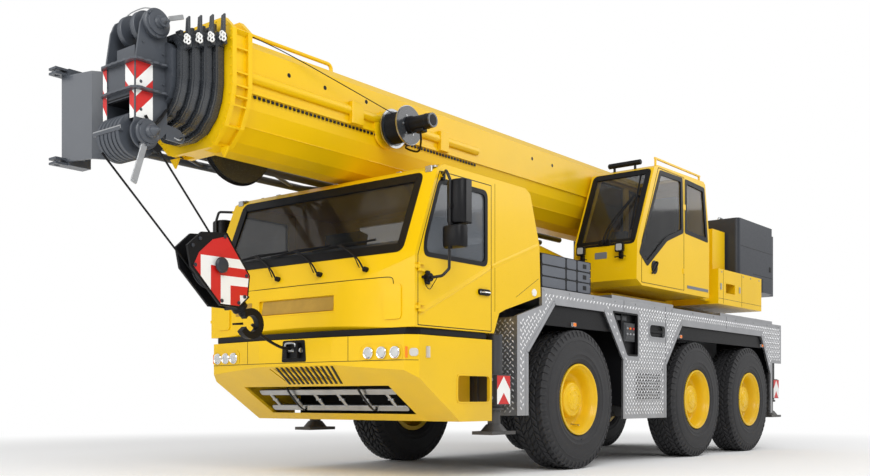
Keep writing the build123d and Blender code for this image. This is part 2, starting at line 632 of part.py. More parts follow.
def boom_fittings():
    """Collar, lifting lugs and hand rail on the base section, each its own solid."""
    ring = cross_plate(section_points(1.0, 55), BOOM_COLLAR_X - 190, BOOM_COLLAR_X)
    for x in (BOOM_COLLAR_X - 190, BOOM_COLLAR_X - 40):
        ring = ring + cross_plate(section_points(1.0, 85), x, x + 40)
    ring = ring - cross_plate(section_points(1.0), BOOM_COLLAR_X - 200, BOOM_COLLAR_X + 10)
    bottom = BOOM_MID_Z - BOOM_HALF_H
    ring = ring - block(BOOM_COLLAR_X - 200, BOOM_COLLAR_X + 10, -600, 600, bottom - 200, bottom - 50)
    lug = side_plate(
        [(CYL_EYE[0] - 330, bottom + 20), (CYL_EYE[0] - 90, CYL_EYE[1] - 80),
         (CYL_EYE[0] + 90, CYL_EYE[1] - 80), (CYL_EYE[0] + 330, bottom + 20)], 90, 130)
    lug = lug - cross_plate(section_points(1.0), CYL_EYE[0] - 400, CYL_EYE[0] + 400)
    lugs = mirrored(lug) + rod_y(CYL_EYE[0], -140, 140, CYL_EYE[1], 45)
    top = BOOM_MID_Z + BOOM_HALF_H
    rail = tube([(3525, RAIL_Y, top), (3525, RAIL_Y, top + 72), (2500, RAIL_Y, top + 72),
                 (2500, RAIL_Y, top)], 16)
    save(apart(ring, lugs, rail), "boom_fittings")


def rope_reels():
    """Reel with its motor on the left of the base section, a flat reel on its right."""
    x, z = LEFT_REEL
    reel = rod_y(x, BOOM_HALF_W, 500, z, 60)
    reel = reel + rod_y(x, 500, 516, z, 165) + rod_y(x, 684, 700, z, 165)
    reel = reel + rod_y(x, 516, 684, z, 90) + rod_y(x, 700, 960, z, 62)
    x, z = RIGHT_REEL
    hub = rod_y(x, -450, -380, z, 120) - cross_plate(section_points(1.0), x - 200, x + 200)
    save(apart(reel, rod_y(x, -505, -445, z, 365) + hub), "rope_reels")


def tele_sections():
    """Telescopic sections nested in the base, each with its collar and tabs."""
    for number in range(1, TELE_COUNT):
        scale = 1.0 - SECTION_STEP * number
        x1 = BOOM_COLLAR_X + 10 + COLLAR_STEP * (number - 1) + COLLAR_LEN
        piece = section_tube(scale, BOOM_TAIL_X + 60 * number + 200, x1)
        piece = piece + section_tube(scale, x1 - COLLAR_LEN, x1, 28)
        top = BOOM_MID_Z + BOOM_HALF_H * scale
        corner = BOOM_HALF_W * scale * BOOM_SECTION[0][0]
        for y in (-corner - 50, corner - 10):
            piece = piece + block(x1 - 50, x1 - 25, y, y + 60, top - 30, top + TAB_LIFT)
        save(piece + slide_pad(scale, x1), "boom_section_%d" % number)


def pack_y(number):
    """Middle of a lower sheave, counted from the right."""
    return HEAD_Y[0] + CHEEK + 24 + number * SHEAVE_PITCH


def head_cheek(y):
    """Side plate of the head, from the lower shaft up to the upper one."""
    x, z = LOWER_SHAFT
    top_x, top_z = UPPER_SHAFT
    outline = [(HEAD_X, z + 45), (HEAD_X, top_z - 70), (HEAD_X + 15, top_z + 20), (top_x + 75, top_z + 70),
               (top_x + 115, top_z - 15), (HEAD_FRONT_X + 2, HEAD_Z[1]), (HEAD_FRONT_X + 5, HEAD_Z[0]),
               (x + 105, z + 25), (x + 35, z - 110), (x - 35, z - 110)]
    plate = side_plate(outline, y, y + CHEEK)
    return plate + rod_y(top_x, y, y + CHEEK, top_z, 100) + rod_y(x, y, y + CHEEK, z, 115)


def boom_head():
    """Last section with the narrow head: cheeks, ribs, sheaves and shafts."""
    scale = 1.0 - SECTION_STEP * TELE_COUNT
    head = section_tube(scale, BOOM_TAIL_X + 60 * TELE_COUNT + 200, HEAD_X + 20)
    y0, y1 = HEAD_Y
    low, high = HEAD_Z
    hood = low + 170
    head = head + head_cheek(y0) + head_cheek(y1 - CHEEK)
    head = head + block(HEAD_X, HEAD_FRONT_X, y0, y1, high - 14, high)
    head = head + cross_plate(section_points(scale), HEAD_X, HEAD_X + 20)
    head = head + block(HEAD_FRONT_X - 14, HEAD_FRONT_X, y0, y1, hood, high)
    head = head + block(HEAD_FRONT_X - 14, HEAD_FRONT_X, y1 - 80, y1, low, hood)
    head = head + block(HEAD_X + 60, HEAD_FRONT_X, y0, y1 - 80, hood - 14, hood)
    for z in (hood + 35, high):
        rib = [(HEAD_X + 10, y0 - 20), (HEAD_FRONT_X + 20, y0 - 20), (HEAD_FRONT_X + 45, y0 + 20),
               (HEAD_FRONT_X + 45, y1), (HEAD_FRONT_X + 20, y1 + 40), (HEAD_X + 10, y1 + 40)]
        head = head + flat_plate(rib, z - 7, z + 7)
    head = head + block(HEAD_X + 30, HEAD_FRONT_X - 40, -120, 100, high, high + 130)
    x, z = UPPER_SHAFT
    head = head + rod_y(x, y0 - 20, 290, z, SHAFT_R) + rod_y(x, y1, y1 + 30, z, 100)
    for y in (-95, 65):
        head = head + rod_y(x, y - 25, y + 25, z, UPPER_SHEAVE_R)
    x, z = LOWER_SHAFT
    head = head + rod_y(x, y0 - 20, 290, z, SHAFT_R) + rod_y(x, y1, y1 + 28, z, 88)
    for number in range(PACK_COUNT):
        y = pack_y(number)
        head = head + rod_y(x, y - 18, y + 18, z, LOWER_SHEAVE_R)
    head = head + block(x + LOWER_SHEAVE_R - 20, NOSE_X, y0 - 17, y1 - 60, z + 5, z + 30)
    lug = side_plate([(HEAD_X + 10, 2700), (HEAD_X - 115, 2680), (HEAD_X - 160, 2625), (HEAD_X - 140, 2585),
                      (HEAD_X + 10, 2590)], y1 - CHEEK, y1)
    head = head + (lug - rod_y(HEAD_X - 131, y1 - 60, y1 + 20, 2627, 14))
    save(head, "boom_section_%d" % TELE_COUNT)


def lift_cylinder():
    """Barrel and rod of the lifting cylinder, drawn level and then tipped."""
    angle, length = eye_cylinder()
    place = Pos(CYL_FOOT[0], 0, CYL_FOOT[1]) * Rot(0, -angle, 0)
    barrel_end = length - 260
    barrel = rod_x(240, barrel_end, 0, 0, CYL_R) + rod_y(0, -72, 72, 0, 100)
    barrel = barrel + rod_x(60, 240, 0, 0, 68)
    barrel = barrel - rod_x(290, barrel_end + 10, 0, 0, ROD_R + EYE_FIT)
    barrel = barrel - rod_y(0, -80, 80, 0, 50 + EYE_FIT)
    save(place * barrel, "lift_cylinder_barrel")
    rod = rod_x(310, length - 70, 0, 0, ROD_R) + rod_y(length, -80, 80, 0, 85)
    rod = rod - rod_y(length, -90, 90, 0, 45 + EYE_FIT)
    save(place * rod, "lift_cylinder_rod")


def taut(start, end, radius):
    """A straight round rope between two points."""
    line = Line(start, end)
    return sweep(Plane(origin=line @ 0, z_dir=line % 0) * Circle(radius), line)


def hook_block():
    """Sheave block, two falls and hook, drawn plumb below the lower shaft, then leant."""
    outline = [(-30, -845), (150, -845), (230, -990), (200, -1380), (60, -1510), (-60, -1510),
               (-200, -1380), (-230, -990)]
    piece = side_plate(outline, 58, 80) + side_plate(outline, -80, -58)
    piece = piece + rod_y(0, -105, 105, HOOK_SHEAVE_Z, 40)
    piece = piece + block(-80, 80, -80, 80, -1510, -1450)
    for y in (-SHEAVE_PITCH / 2, SHEAVE_PITCH / 2):
        piece = piece + rod_y(0, y - 20, y + 20, HOOK_SHEAVE_Z, LOWER_SHEAVE_R + 16)
    front_x = LOWER_SHEAVE_R + ROPE_R + 0.3
    piece = piece + taut((front_x, pack_y(0), 0), (front_x, -SHEAVE_PITCH / 2, HOOK_SHEAVE_Z), ROPE_R)
    eye = rod_y(0, 120, 138, 0, 72) + side_plate([(-60, -20), (40, -20), (-30, -170), (-90, -170)], 120, 138)
    eye = eye - rod_y(0, 110, 150, 0, SHAFT_R + EYE_FIT)
    piece = piece + eye + taut((-58, 129, -120), (-125, SHEAVE_PITCH / 2, HOOK_SHEAVE_Z), ROPE_R)
    hook = post(0, 0, HOOK_Z + 100, -1510, 38)
    ring = Pos(0, 0, HOOK_Z) * Rot(90, 0, 0) * (Cylinder(125, 60) - Cylinder(68, 80))
    hook = hook + (ring - block(20, 160, -60, 60, HOOK_Z + 20, HOOK_Z + 140))
    place = Pos(LOWER_SHAFT[0], 0, LOWER_SHAFT[1]) * Rot(0, HOOK_LEAN, 0)
    save(apart(place * piece, place * hook), "hook_block")


def folding_jib():
    """Lattice jib stowed on the right of the base section, its forks forward."""
    chords = ((-600, 2760), (-900, 2760), (-750, 3160))
    piece = None
    for y, z in chords:
        chord = rod_x(-2600, ADAPTER_X, y, z, 34)
        piece = chord if piece is None else piece + chord
    bays = 12
    for bay in range(bays):
        x0 = -2500 + bay * (6500 / bays)
        x1 = x0 + 6500 / bays
        for a, b in ((0, 2), (1, 2), (0, 1)):
            start, end = (chords[a], chords[b]) if bay % 2 else (chords[b], chords[a])
            line = Line((x0, *start), (x1, *end))
            piece = piece + sweep(Plane(origin=line @ 0, z_dir=line % 0) * Circle(18), line)
    x = ADAPTER_X
    plate = flat_plate([(x + 190, -850), (x + 210, -850), (x + 140, -545), (x - 10, -440), (x - 20, -460),
                        (x + 120, -560)], ADAPTER_Z[0], ADAPTER_Z[1] - 25)
    plate = plate + block(x, x + 50, -934, -560, 2700, ADAPTER_Z[1] - 25)
    plate = plate + block(x, x + 50, -900, -780, ADAPTER_Z[0], 2760)
    for z in ADAPTER_Z:
        for shift in (-18, 18):
            plate = plate + block(x + 140, x + 290, -900, -800, z + shift - 9, z + shift + 9)
        plate = plate + block(x, x + 190, -900, -780, z - 27, z + 27)
    for z in ADAPTER_Z:
        plate = plate - post(x + 250, -850, z - 60, z + 60, 22)
    hangers = None
    for x in (-1500, 2200):
        hanger = block(x - 40, x + 40, -780, -BOOM_HALF_W, 3120, 3180)
        hangers = hanger if hangers is None else hangers + hanger
    save(apart(piece + hangers, plate), "folding_jib")


def main():
    os.makedirs("parts", exist_ok=True)
    wheels()
    drivetrain()
    chassis_frame()
    outriggers()
    side_skirts()
    deck()
    arch_panels()
    support_mats()
    front_bumper()
    lamps()
    carrier_cab()
    superstructure_frame()
    counterweight()
    hoist_drum()
    operator_cab()
    boom_base()
    boom_fittings()
    rope_reels()
    tele_sections()
    boom_head()
    lift_cylinder()
    hook_block()
    folding_jib()


main()
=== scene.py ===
import json
import math

import bmesh
import bpy
from mathutils import Matrix, Vector

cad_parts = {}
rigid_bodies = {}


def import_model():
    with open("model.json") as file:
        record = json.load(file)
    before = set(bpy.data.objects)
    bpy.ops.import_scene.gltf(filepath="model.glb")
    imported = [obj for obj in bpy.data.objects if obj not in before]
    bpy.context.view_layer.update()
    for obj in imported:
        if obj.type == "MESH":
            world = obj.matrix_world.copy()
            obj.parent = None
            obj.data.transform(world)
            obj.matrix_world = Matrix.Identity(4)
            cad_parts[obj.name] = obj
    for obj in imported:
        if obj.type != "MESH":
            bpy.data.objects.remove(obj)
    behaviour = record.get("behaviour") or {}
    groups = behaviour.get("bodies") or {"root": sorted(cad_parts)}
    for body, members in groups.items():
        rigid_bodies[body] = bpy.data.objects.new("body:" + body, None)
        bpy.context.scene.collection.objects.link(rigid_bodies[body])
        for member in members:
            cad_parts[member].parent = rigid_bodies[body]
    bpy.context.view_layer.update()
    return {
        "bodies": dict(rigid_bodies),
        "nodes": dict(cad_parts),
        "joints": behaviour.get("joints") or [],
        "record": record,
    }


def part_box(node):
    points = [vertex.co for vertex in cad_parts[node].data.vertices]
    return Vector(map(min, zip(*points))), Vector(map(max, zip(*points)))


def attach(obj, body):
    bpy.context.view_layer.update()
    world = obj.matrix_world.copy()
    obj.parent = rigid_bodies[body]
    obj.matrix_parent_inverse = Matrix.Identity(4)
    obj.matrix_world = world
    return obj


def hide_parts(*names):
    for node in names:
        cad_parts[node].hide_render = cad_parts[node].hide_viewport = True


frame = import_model()
AXLE_X = sum(corner[0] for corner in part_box("tyre_front_left")) / 2     # front axle in the shared frame
SIDES = (("left", 1), ("right", -1))
AXLES = (("front", 0.0), ("middle", -2.75), ("rear", -4.4))


# ---------------------------------------------------------------- camera, floor, light
LENS, RISE = 41.1, 0.185
EYE, LOOK = (8.51, 6.26, 0.69), (-0.779, -0.627, 0)
FLOOR_REACH = 60
FADE_START, FADE_END = 6.5, 12.0
SKY_LIGHT = 0.62
LAMPS = (("key", (9, 9, 9), 7, 840), ("front", (13, -3, 6), 7, 420), ("back", (-9, 7, 8), 7, 350))
LAMP_AIM = (0, 0, 1.2)


def studio():
    """Camera at the photographer's place, a pale floor and soft lamps."""
    scene = bpy.context.scene
    scene.view_settings.view_transform = "Standard"
    camera = bpy.data.cameras.new("camera")
    camera.sensor_width = 36
    camera.lens = LENS
    camera.shift_y = RISE
    eye = bpy.data.objects.new("camera", camera)
    scene.collection.objects.link(eye)
    eye.location = (EYE[0] + AXLE_X, EYE[1], EYE[2])
    eye.rotation_euler = Vector(LOOK).to_track_quat("-Z", "Y").to_euler()
    scene.camera = eye
    mesh = bpy.data.meshes.new("floor")
    square = rectangle(-FLOOR_REACH, FLOOR_REACH, -FLOOR_REACH, FLOOR_REACH)
    mesh.from_pydata([(x, y, 0) for x, y in square], [], [(0, 1, 2, 3)])
    floor = bpy.data.objects.new("floor", mesh)
    scene.collection.objects.link(floor)
    floor.data.materials.append(floor_material())
    world = bpy.data.worlds.new("studio")
    scene.world = world
    world.use_nodes = True
    nodes, links = world.node_tree.nodes, world.node_tree.links
    shade = nodes["Background"]
    path = nodes.new("ShaderNodeLightPath")
    seen = nodes.new("ShaderNodeMath")
    seen.operation = "MAXIMUM"
    links.new(path.outputs["Is Camera Ray"], seen.inputs[0])
    links.new(path.outputs["Is Transmission Ray"], seen.inputs[1])
    level = nodes.new("ShaderNodeMapRange")
    level.inputs["To Min"].default_value = SKY_LIGHT
    level.inputs["To Max"].default_value = 1.0
    links.new(seen.outputs[0], level.inputs["Value"])
    links.new(level.outputs[0], shade.inputs["Strength"])
    shade.inputs["Color"].default_value = (1, 1, 1, 1)
    for name, place, size, power in LAMPS:
        lamp = bpy.data.lights.new(name, "AREA")
        lamp.size = size
        lamp.energy = power
        thing = bpy.data.objects.new(name, lamp)
        scene.collection.objects.link(thing)
        thing.location = place
        aim = Vector(LAMP_AIM) - Vector(place)
        thing.rotation_euler = aim.to_track_quat("-Z", "Y").to_euler()


# ---------------------------------------------------------------- materials
class Graph:
    """Small helper around a material's node tree."""

    def __init__(self, name):
        self.made = bpy.data.materials.new(name)
        self.made.use_nodes = True
        self.tree = self.made.node_tree
        self.shader = self.tree.nodes["Principled BSDF"]
        self.place = self.node("ShaderNodeTexCoord").outputs["Object"]

    def node(self, kind, links=(), **values):
        made = self.tree.nodes.new(kind)
        for key, value in values.items():
            setattr(made, key, value)
        for key, value in dict(links).items():
            if isinstance(value, bpy.types.NodeSocket):
                self.tree.links.new(value, made.inputs[key])
            else:
                made.inputs[key].default_value = value
        return made

    def noise(self, scale, detail=4.0, rough=0.55):
        made = self.node("ShaderNodeTexNoise", {"Vector": self.place, "Scale": scale,
                                                "Detail": detail, "Roughness": rough})
        return made.outputs["Fac"]

    def span(self, value, low, high, to_low, to_high):
        made = self.node("ShaderNodeMapRange", {"Value": value, "From Min": low, "From Max": high,
                                                "To Min": to_low, "To Max": to_high})
        return made.outputs[0]

    def mix(self, factor, first, second):
        made = self.node("ShaderNodeMix", data_type="RGBA")
        for key, value in ((0, factor), (6, first), (7, second)):
            if isinstance(value, bpy.types.NodeSocket):
                self.tree.links.new(value, made.inputs[key])
            elif key == 0:
                made.inputs[0].default_value = value
            else:
                made.inputs[key].default_value = (*value, 1)
        return made.outputs[2]

    def times(self, first, second):
        made = self.node("ShaderNodeMath", {0: first, 1: second}, operation="MULTIPLY")
        return made.outputs[0]

    def connect(self, socket, key):
        self.tree.links.new(socket, self.shader.inputs[key])

    def bump(self, height, strength, distance=0.002):
        made = self.node("ShaderNodeBump", {"Height": height, "Strength": strength,
                                            "Distance": distance})
        self.connect(made.outputs[0], "Normal")


def floor_material():
    """Pale floor that fades into the white background but keeps the shadow."""
    graph = Graph("floor")
    graph.shader.inputs["Base Color"].default_value = (0.97, 0.97, 0.97, 1)
    graph.shader.inputs["Roughness"].default_value = 0.95
    graph.shader.inputs["Specular IOR Level"].default_value = 0.1
    glow = graph.node("ShaderNodeEmission", {"Color": (1, 1, 1, 1)})
    reach = graph.node("ShaderNodeVectorMath", {0: graph.place}, operation="LENGTH")
    fade = graph.node("ShaderNodeMapRange",
                      {"Value": reach.outputs["Value"], "From Min": FADE_START, "From Max": FADE_END},
                      interpolation_type="SMOOTHSTEP")
    blend = graph.node("ShaderNodeMixShader",
                       {0: fade.outputs[0], 1: graph.shader.outputs[0], 2: glow.outputs[0]})
    graph.tree.links.new(blend.outputs[0], graph.tree.nodes["Material Output"].inputs["Surface"])
    return graph.made


def tint(colour, by):
    return tuple(min(1.0, c * by) for c in colour)


def finish(name, colour, rough, metal=0.0, spread=0.08, patch=2.0, grain=90.0, bump=0.05, dust=0.0,
           coat=0.0, shine=0.5, beyond=None):
    """Painted, cast or moulded surface with patches, dust and grain, black beyond a distance across."""
    graph = Graph(name)
    patches = graph.noise(patch, 5.0)
    shade = graph.mix(graph.span(patches, 0.3, 0.7, 0, 1), tint(colour, 1 - spread), tint(colour, 1 + spread))
    fine = graph.noise(grain, 3.0)
    if dust:
        height = graph.node("ShaderNodeSeparateXYZ", {"Vector": graph.place}).outputs["Z"]
        low = graph.times(graph.span(height, 0.0, DUST_TOP, 1, 0), graph.span(patches, 0.35, 0.65, 0.3, dust))
        shade = graph.mix(low, shade, (0.24, 0.2, 0.15))
    if beyond:
        across = graph.node("ShaderNodeSeparateXYZ", {"Vector": graph.place}).outputs["Y"]
        far = graph.node("ShaderNodeMath", {0: across}, operation="ABSOLUTE").outputs[0]
        shade = graph.mix(graph.span(far, beyond, beyond + 0.004, 0, 1), shade, (0.01, 0.01, 0.011))
    graph.connect(shade, "Base Color")
    graph.connect(graph.span(fine, 0.3, 0.7, max(0.02, rough - 0.07), rough + 0.07), "Roughness")
    graph.shader.inputs["Metallic"].default_value = metal
    graph.shader.inputs["Specular IOR Level"].default_value = shine
    if coat:
        graph.shader.inputs["Coat Weight"].default_value = coat
        graph.shader.inputs["Coat Roughness"].default_value = 0.08
    graph.bump(fine, bump)
    return graph.made


def glass_material(name, colour, alpha, rough=0.03):
    """Dark tinted pane with a faint film of dust."""
    graph = Graph(name)
    film = graph.noise(3.0, 4.0)
    graph.connect(graph.mix(graph.span(film, 0.4, 0.7, 0, 0.12), colour, (0.3, 0.3, 0.3)), "Base Color")
    graph.connect(graph.span(film, 0.3, 0.7, rough, rough + 0.05), "Roughness")
    graph.shader.inputs["Alpha"].default_value = alpha
    graph.shader.inputs["Specular IOR Level"].default_value = 0.6
    return graph.made


YELLOW = ((0.8, 0.5, 0.0015), 0.34)
DUST_TOP = 1.2


MATERIAL = {
    "yellow": finish("yellow", *YELLOW, spread=0.04, patch=1.3, bump=0.02, dust=0.06, coat=0.08, shine=0.28),
    "dark_grey": finish("dark_grey", (0.058, 0.066, 0.08), 0.38, spread=0.06, patch=1.6, bump=0.02,
                        coat=0.15),
    "collar_grey": finish("collar_grey", (0.03, 0.034, 0.04), 0.24, spread=0.1, bump=0.02, coat=0.4),
    "weight_grey": finish("weight_grey", (0.024, 0.028, 0.037), 0.4, spread=0.1, bump=0.03, shine=0.4),
    "black": finish("black", (0.006, 0.006, 0.007), 0.42, spread=0.2, bump=0.05, shine=0.18),
    "frame_grey": finish("frame_grey", (0.03, 0.032, 0.036), 0.45, spread=0.15, bump=0.04, dust=0.15),
    "chequer": finish("chequer", (0.4, 0.405, 0.42), 0.4, metal=0.85, spread=0.06, patch=5.0, bump=0.05,
                      dust=0.08),
    # near-white colour of the raised chequer studs: a painted highlight on their faces, brighter than the
    # plate's own metal
    "stud_highlight": finish("stud_highlight", (0.97, 0.97, 0.98), 0.3, metal=0.55, spread=0.05, patch=5.0, bump=0.02),
    "tyre": finish("tyre", (0.02, 0.02, 0.022), 0.7, spread=0.12, patch=6.0, bump=0.12),
    "glass": glass_material("glass", (0.012, 0.014, 0.016), 0.42),
    "side_glass": glass_material("side_glass", (0.09, 0.105, 0.125), 0.68),
    "door": finish("door", *YELLOW, spread=0.03, patch=1.3, bump=0.02, coat=0.08, shine=0.28, beyond=1.292),
    "lamp": glass_material("lamp", (0.75, 0.77, 0.78), 0.55, 0.08),
    "interior": finish("interior", (0.05, 0.05, 0.055), 0.8, spread=0.2, grain=400.0, bump=0.4),
    "steel": finish("steel", (0.45, 0.46, 0.47), 0.35, metal=1.0, spread=0.12, patch=8.0, grain=300.0),
    "chrome": finish("chrome", (0.8, 0.8, 0.8), 0.12, metal=1.0, spread=0.05, bump=0.02),
    "red": finish("red", (0.55, 0.012, 0.01), 0.36, spread=0.06, bump=0.02),
    "white": finish("white", (0.8, 0.8, 0.78), 0.36, spread=0.04, bump=0.02),
    "mat_grey": finish("mat_grey", (0.085, 0.095, 0.115), 0.45, spread=0.08, bump=0.06),
    "slate": finish("slate", (0.15, 0.165, 0.19), 0.5, spread=0.06, bump=0.03),
    "orange": finish("orange", (0.85, 0.2, 0.01), 0.2, spread=0.06, bump=0.02),
    "gold": finish("gold", (0.44, 0.26, 0.035), 0.36, metal=0.35, spread=0.1, patch=9.0, bump=0.03),
}


DRESS = {"counterweight": "weight_grey", "hook_block": "black", "cab_door_left": "door",
         "cab_door_right": "door", "cab_door_glass_left": "side_glass", "cab_door_glass_right": "side_glass",
         "rope_reels": "collar_grey"}
DRESS.update({"boom_section_%d" % number: "collar_grey" for number in (1, 2, 3, 4)})


def dress_cad():
    """Each CAD node gets the procedural material of its slot."""
    for part in frame["record"]["subparts"]:
        node = frame["nodes"][part["node"]]
        slot = part["material_slot"]
        node.data.materials.clear()
        node.data.materials.append(MATERIAL[DRESS.get(part["node"], slot)])


# ---------------------------------------------------------------- shapes
def oriented(outline):
    """The outline, turned anticlockwise."""
    area = sum(a[0] * b[1] - b[0] * a[1] for a, b in zip(outline, outline[1:] + outline[:1]))
    return list(outline) if area > 0 else list(reversed(outline))


def inset(outline, by):
    """An anticlockwise outline moved inwards by a distance."""
    result = []
    for i, point in enumerate(outline):
        here = Vector(point)
        before = (here - Vector(outline[i - 1])).normalized()
        after = (Vector(outline[(i + 1) % len(outline)]) - here).normalized()
        first = Vector((-before.y, before.x))
        second = Vector((-after.y, after.x))
        move = (first + second) * (by / max(0.3, 1 + first.dot(second)))
        result.append(tuple(here + move))
    return result


def rounded(outline, radius, steps=5):
    """Outline with its corners rounded."""
    outline = oriented(outline)
    result = []
    for i, point in enumerate(outline):
        here = Vector(point)
        back = Vector(outline[i - 1]) - here
        ahead = Vector(outline[(i + 1) % len(outline)]) - here
        reach = min(radius, back.length * 0.48, ahead.length * 0.48)
        start = here + back.normalized() * reach
        end = here + ahead.normalized() * reach
        for step in range(steps + 1):
            t = step / steps
            result.append(tuple(start * (1 - t) ** 2 + here * 2 * t * (1 - t) + end * t * t))
    return result


def dense(outline, pitch):
    """Outline with extra points, at most a pitch apart."""
    result = []
    for a, b in zip(outline, outline[1:] + outline[:1]):
        count = max(1, math.ceil(math.dist(a, b) / pitch))
        for step in range(count):
            t = step / count
            result.append((a[0] + (b[0] - a[0]) * t, a[1] + (b[1] - a[1]) * t))
    return result


def circle(count, radius, start=0.0):
    """Evenly spaced points on a circle."""
    return [(radius * math.cos((k + start) * math.tau / count),
             radius * math.sin((k + start) * math.tau / count))
            for k in range(count)]


def rectangle(a0, a1, b0, b1):
    return [(a0, b0), (a1, b0), (a1, b1), (a0, b1)]


def inside(point, outline):
    """Whether a point lies in an outline."""
    x, y = point
    odd = False
    for a, b in zip(outline, outline[1:] + outline[:1]):
        if (a[1] > y) != (b[1] > y) and x < a[0] + (b[0] - a[0]) * (y - a[1]) / (b[1] - a[1]):
            odd = not odd
    return odd


def clipped(polygon, normal, limit):
    """The part of a polygon where normal . point is below a limit."""
    result = []
    for a, b in zip(polygon, polygon[1:] + polygon[:1]):
        da = normal[0] * a[0] + normal[1] * a[1] - limit
        db = normal[0] * b[0] + normal[1] * b[1] - limit
        if da <= 0:
            result.append(a)
        if (da < 0 < db) or (db < 0 < da):
            t = da / (da - db)
            result.append((a[0] + (b[0] - a[0]) * t, a[1] + (b[1] - a[1]) * t))
    return result


def smooth_path(points, steps=8):
    """A soft curve through the points."""
    points = [Vector(p) for p in points]
    if len(points) < 3:
        return points
    ends = [points[0] * 2 - points[1]] + points + [points[-1] * 2 - points[-2]]
    result = []
    for a, b, c, d in zip(ends, ends[1:], ends[2:], ends[3:]):
        for step in range(steps):
            t = step / steps
            result.append(0.5 * (2 * b + (c - a) * t + (2 * a - 5 * b + 4 * c - d) * t ** 2
                                 + (3 * b - a - 3 * c + d) * t ** 3))
    return result + [points[-1]]


AXIS = {"x": Vector((1, 0, 0)), "y": Vector((0, 1, 0)), "z": Vector((0, 0, 1))}


def along(line, spot, value):
    """Value at a place on a broken line of places and values, or the given one past its ends."""
    for (p0, v0), (p1, v1) in zip(line, line[1:]):
        if p0 <= spot <= p1:
            value = v0 + (v1 - v0) * (spot - p0) / (p1 - p0)
    return value


def on_axis(axis, a, b, height):
    """A point of a plane across an axis, at a height along it."""
    return {"x": (height, a, b), "y": (a, height, b), "z": (a, b, height)}[axis]


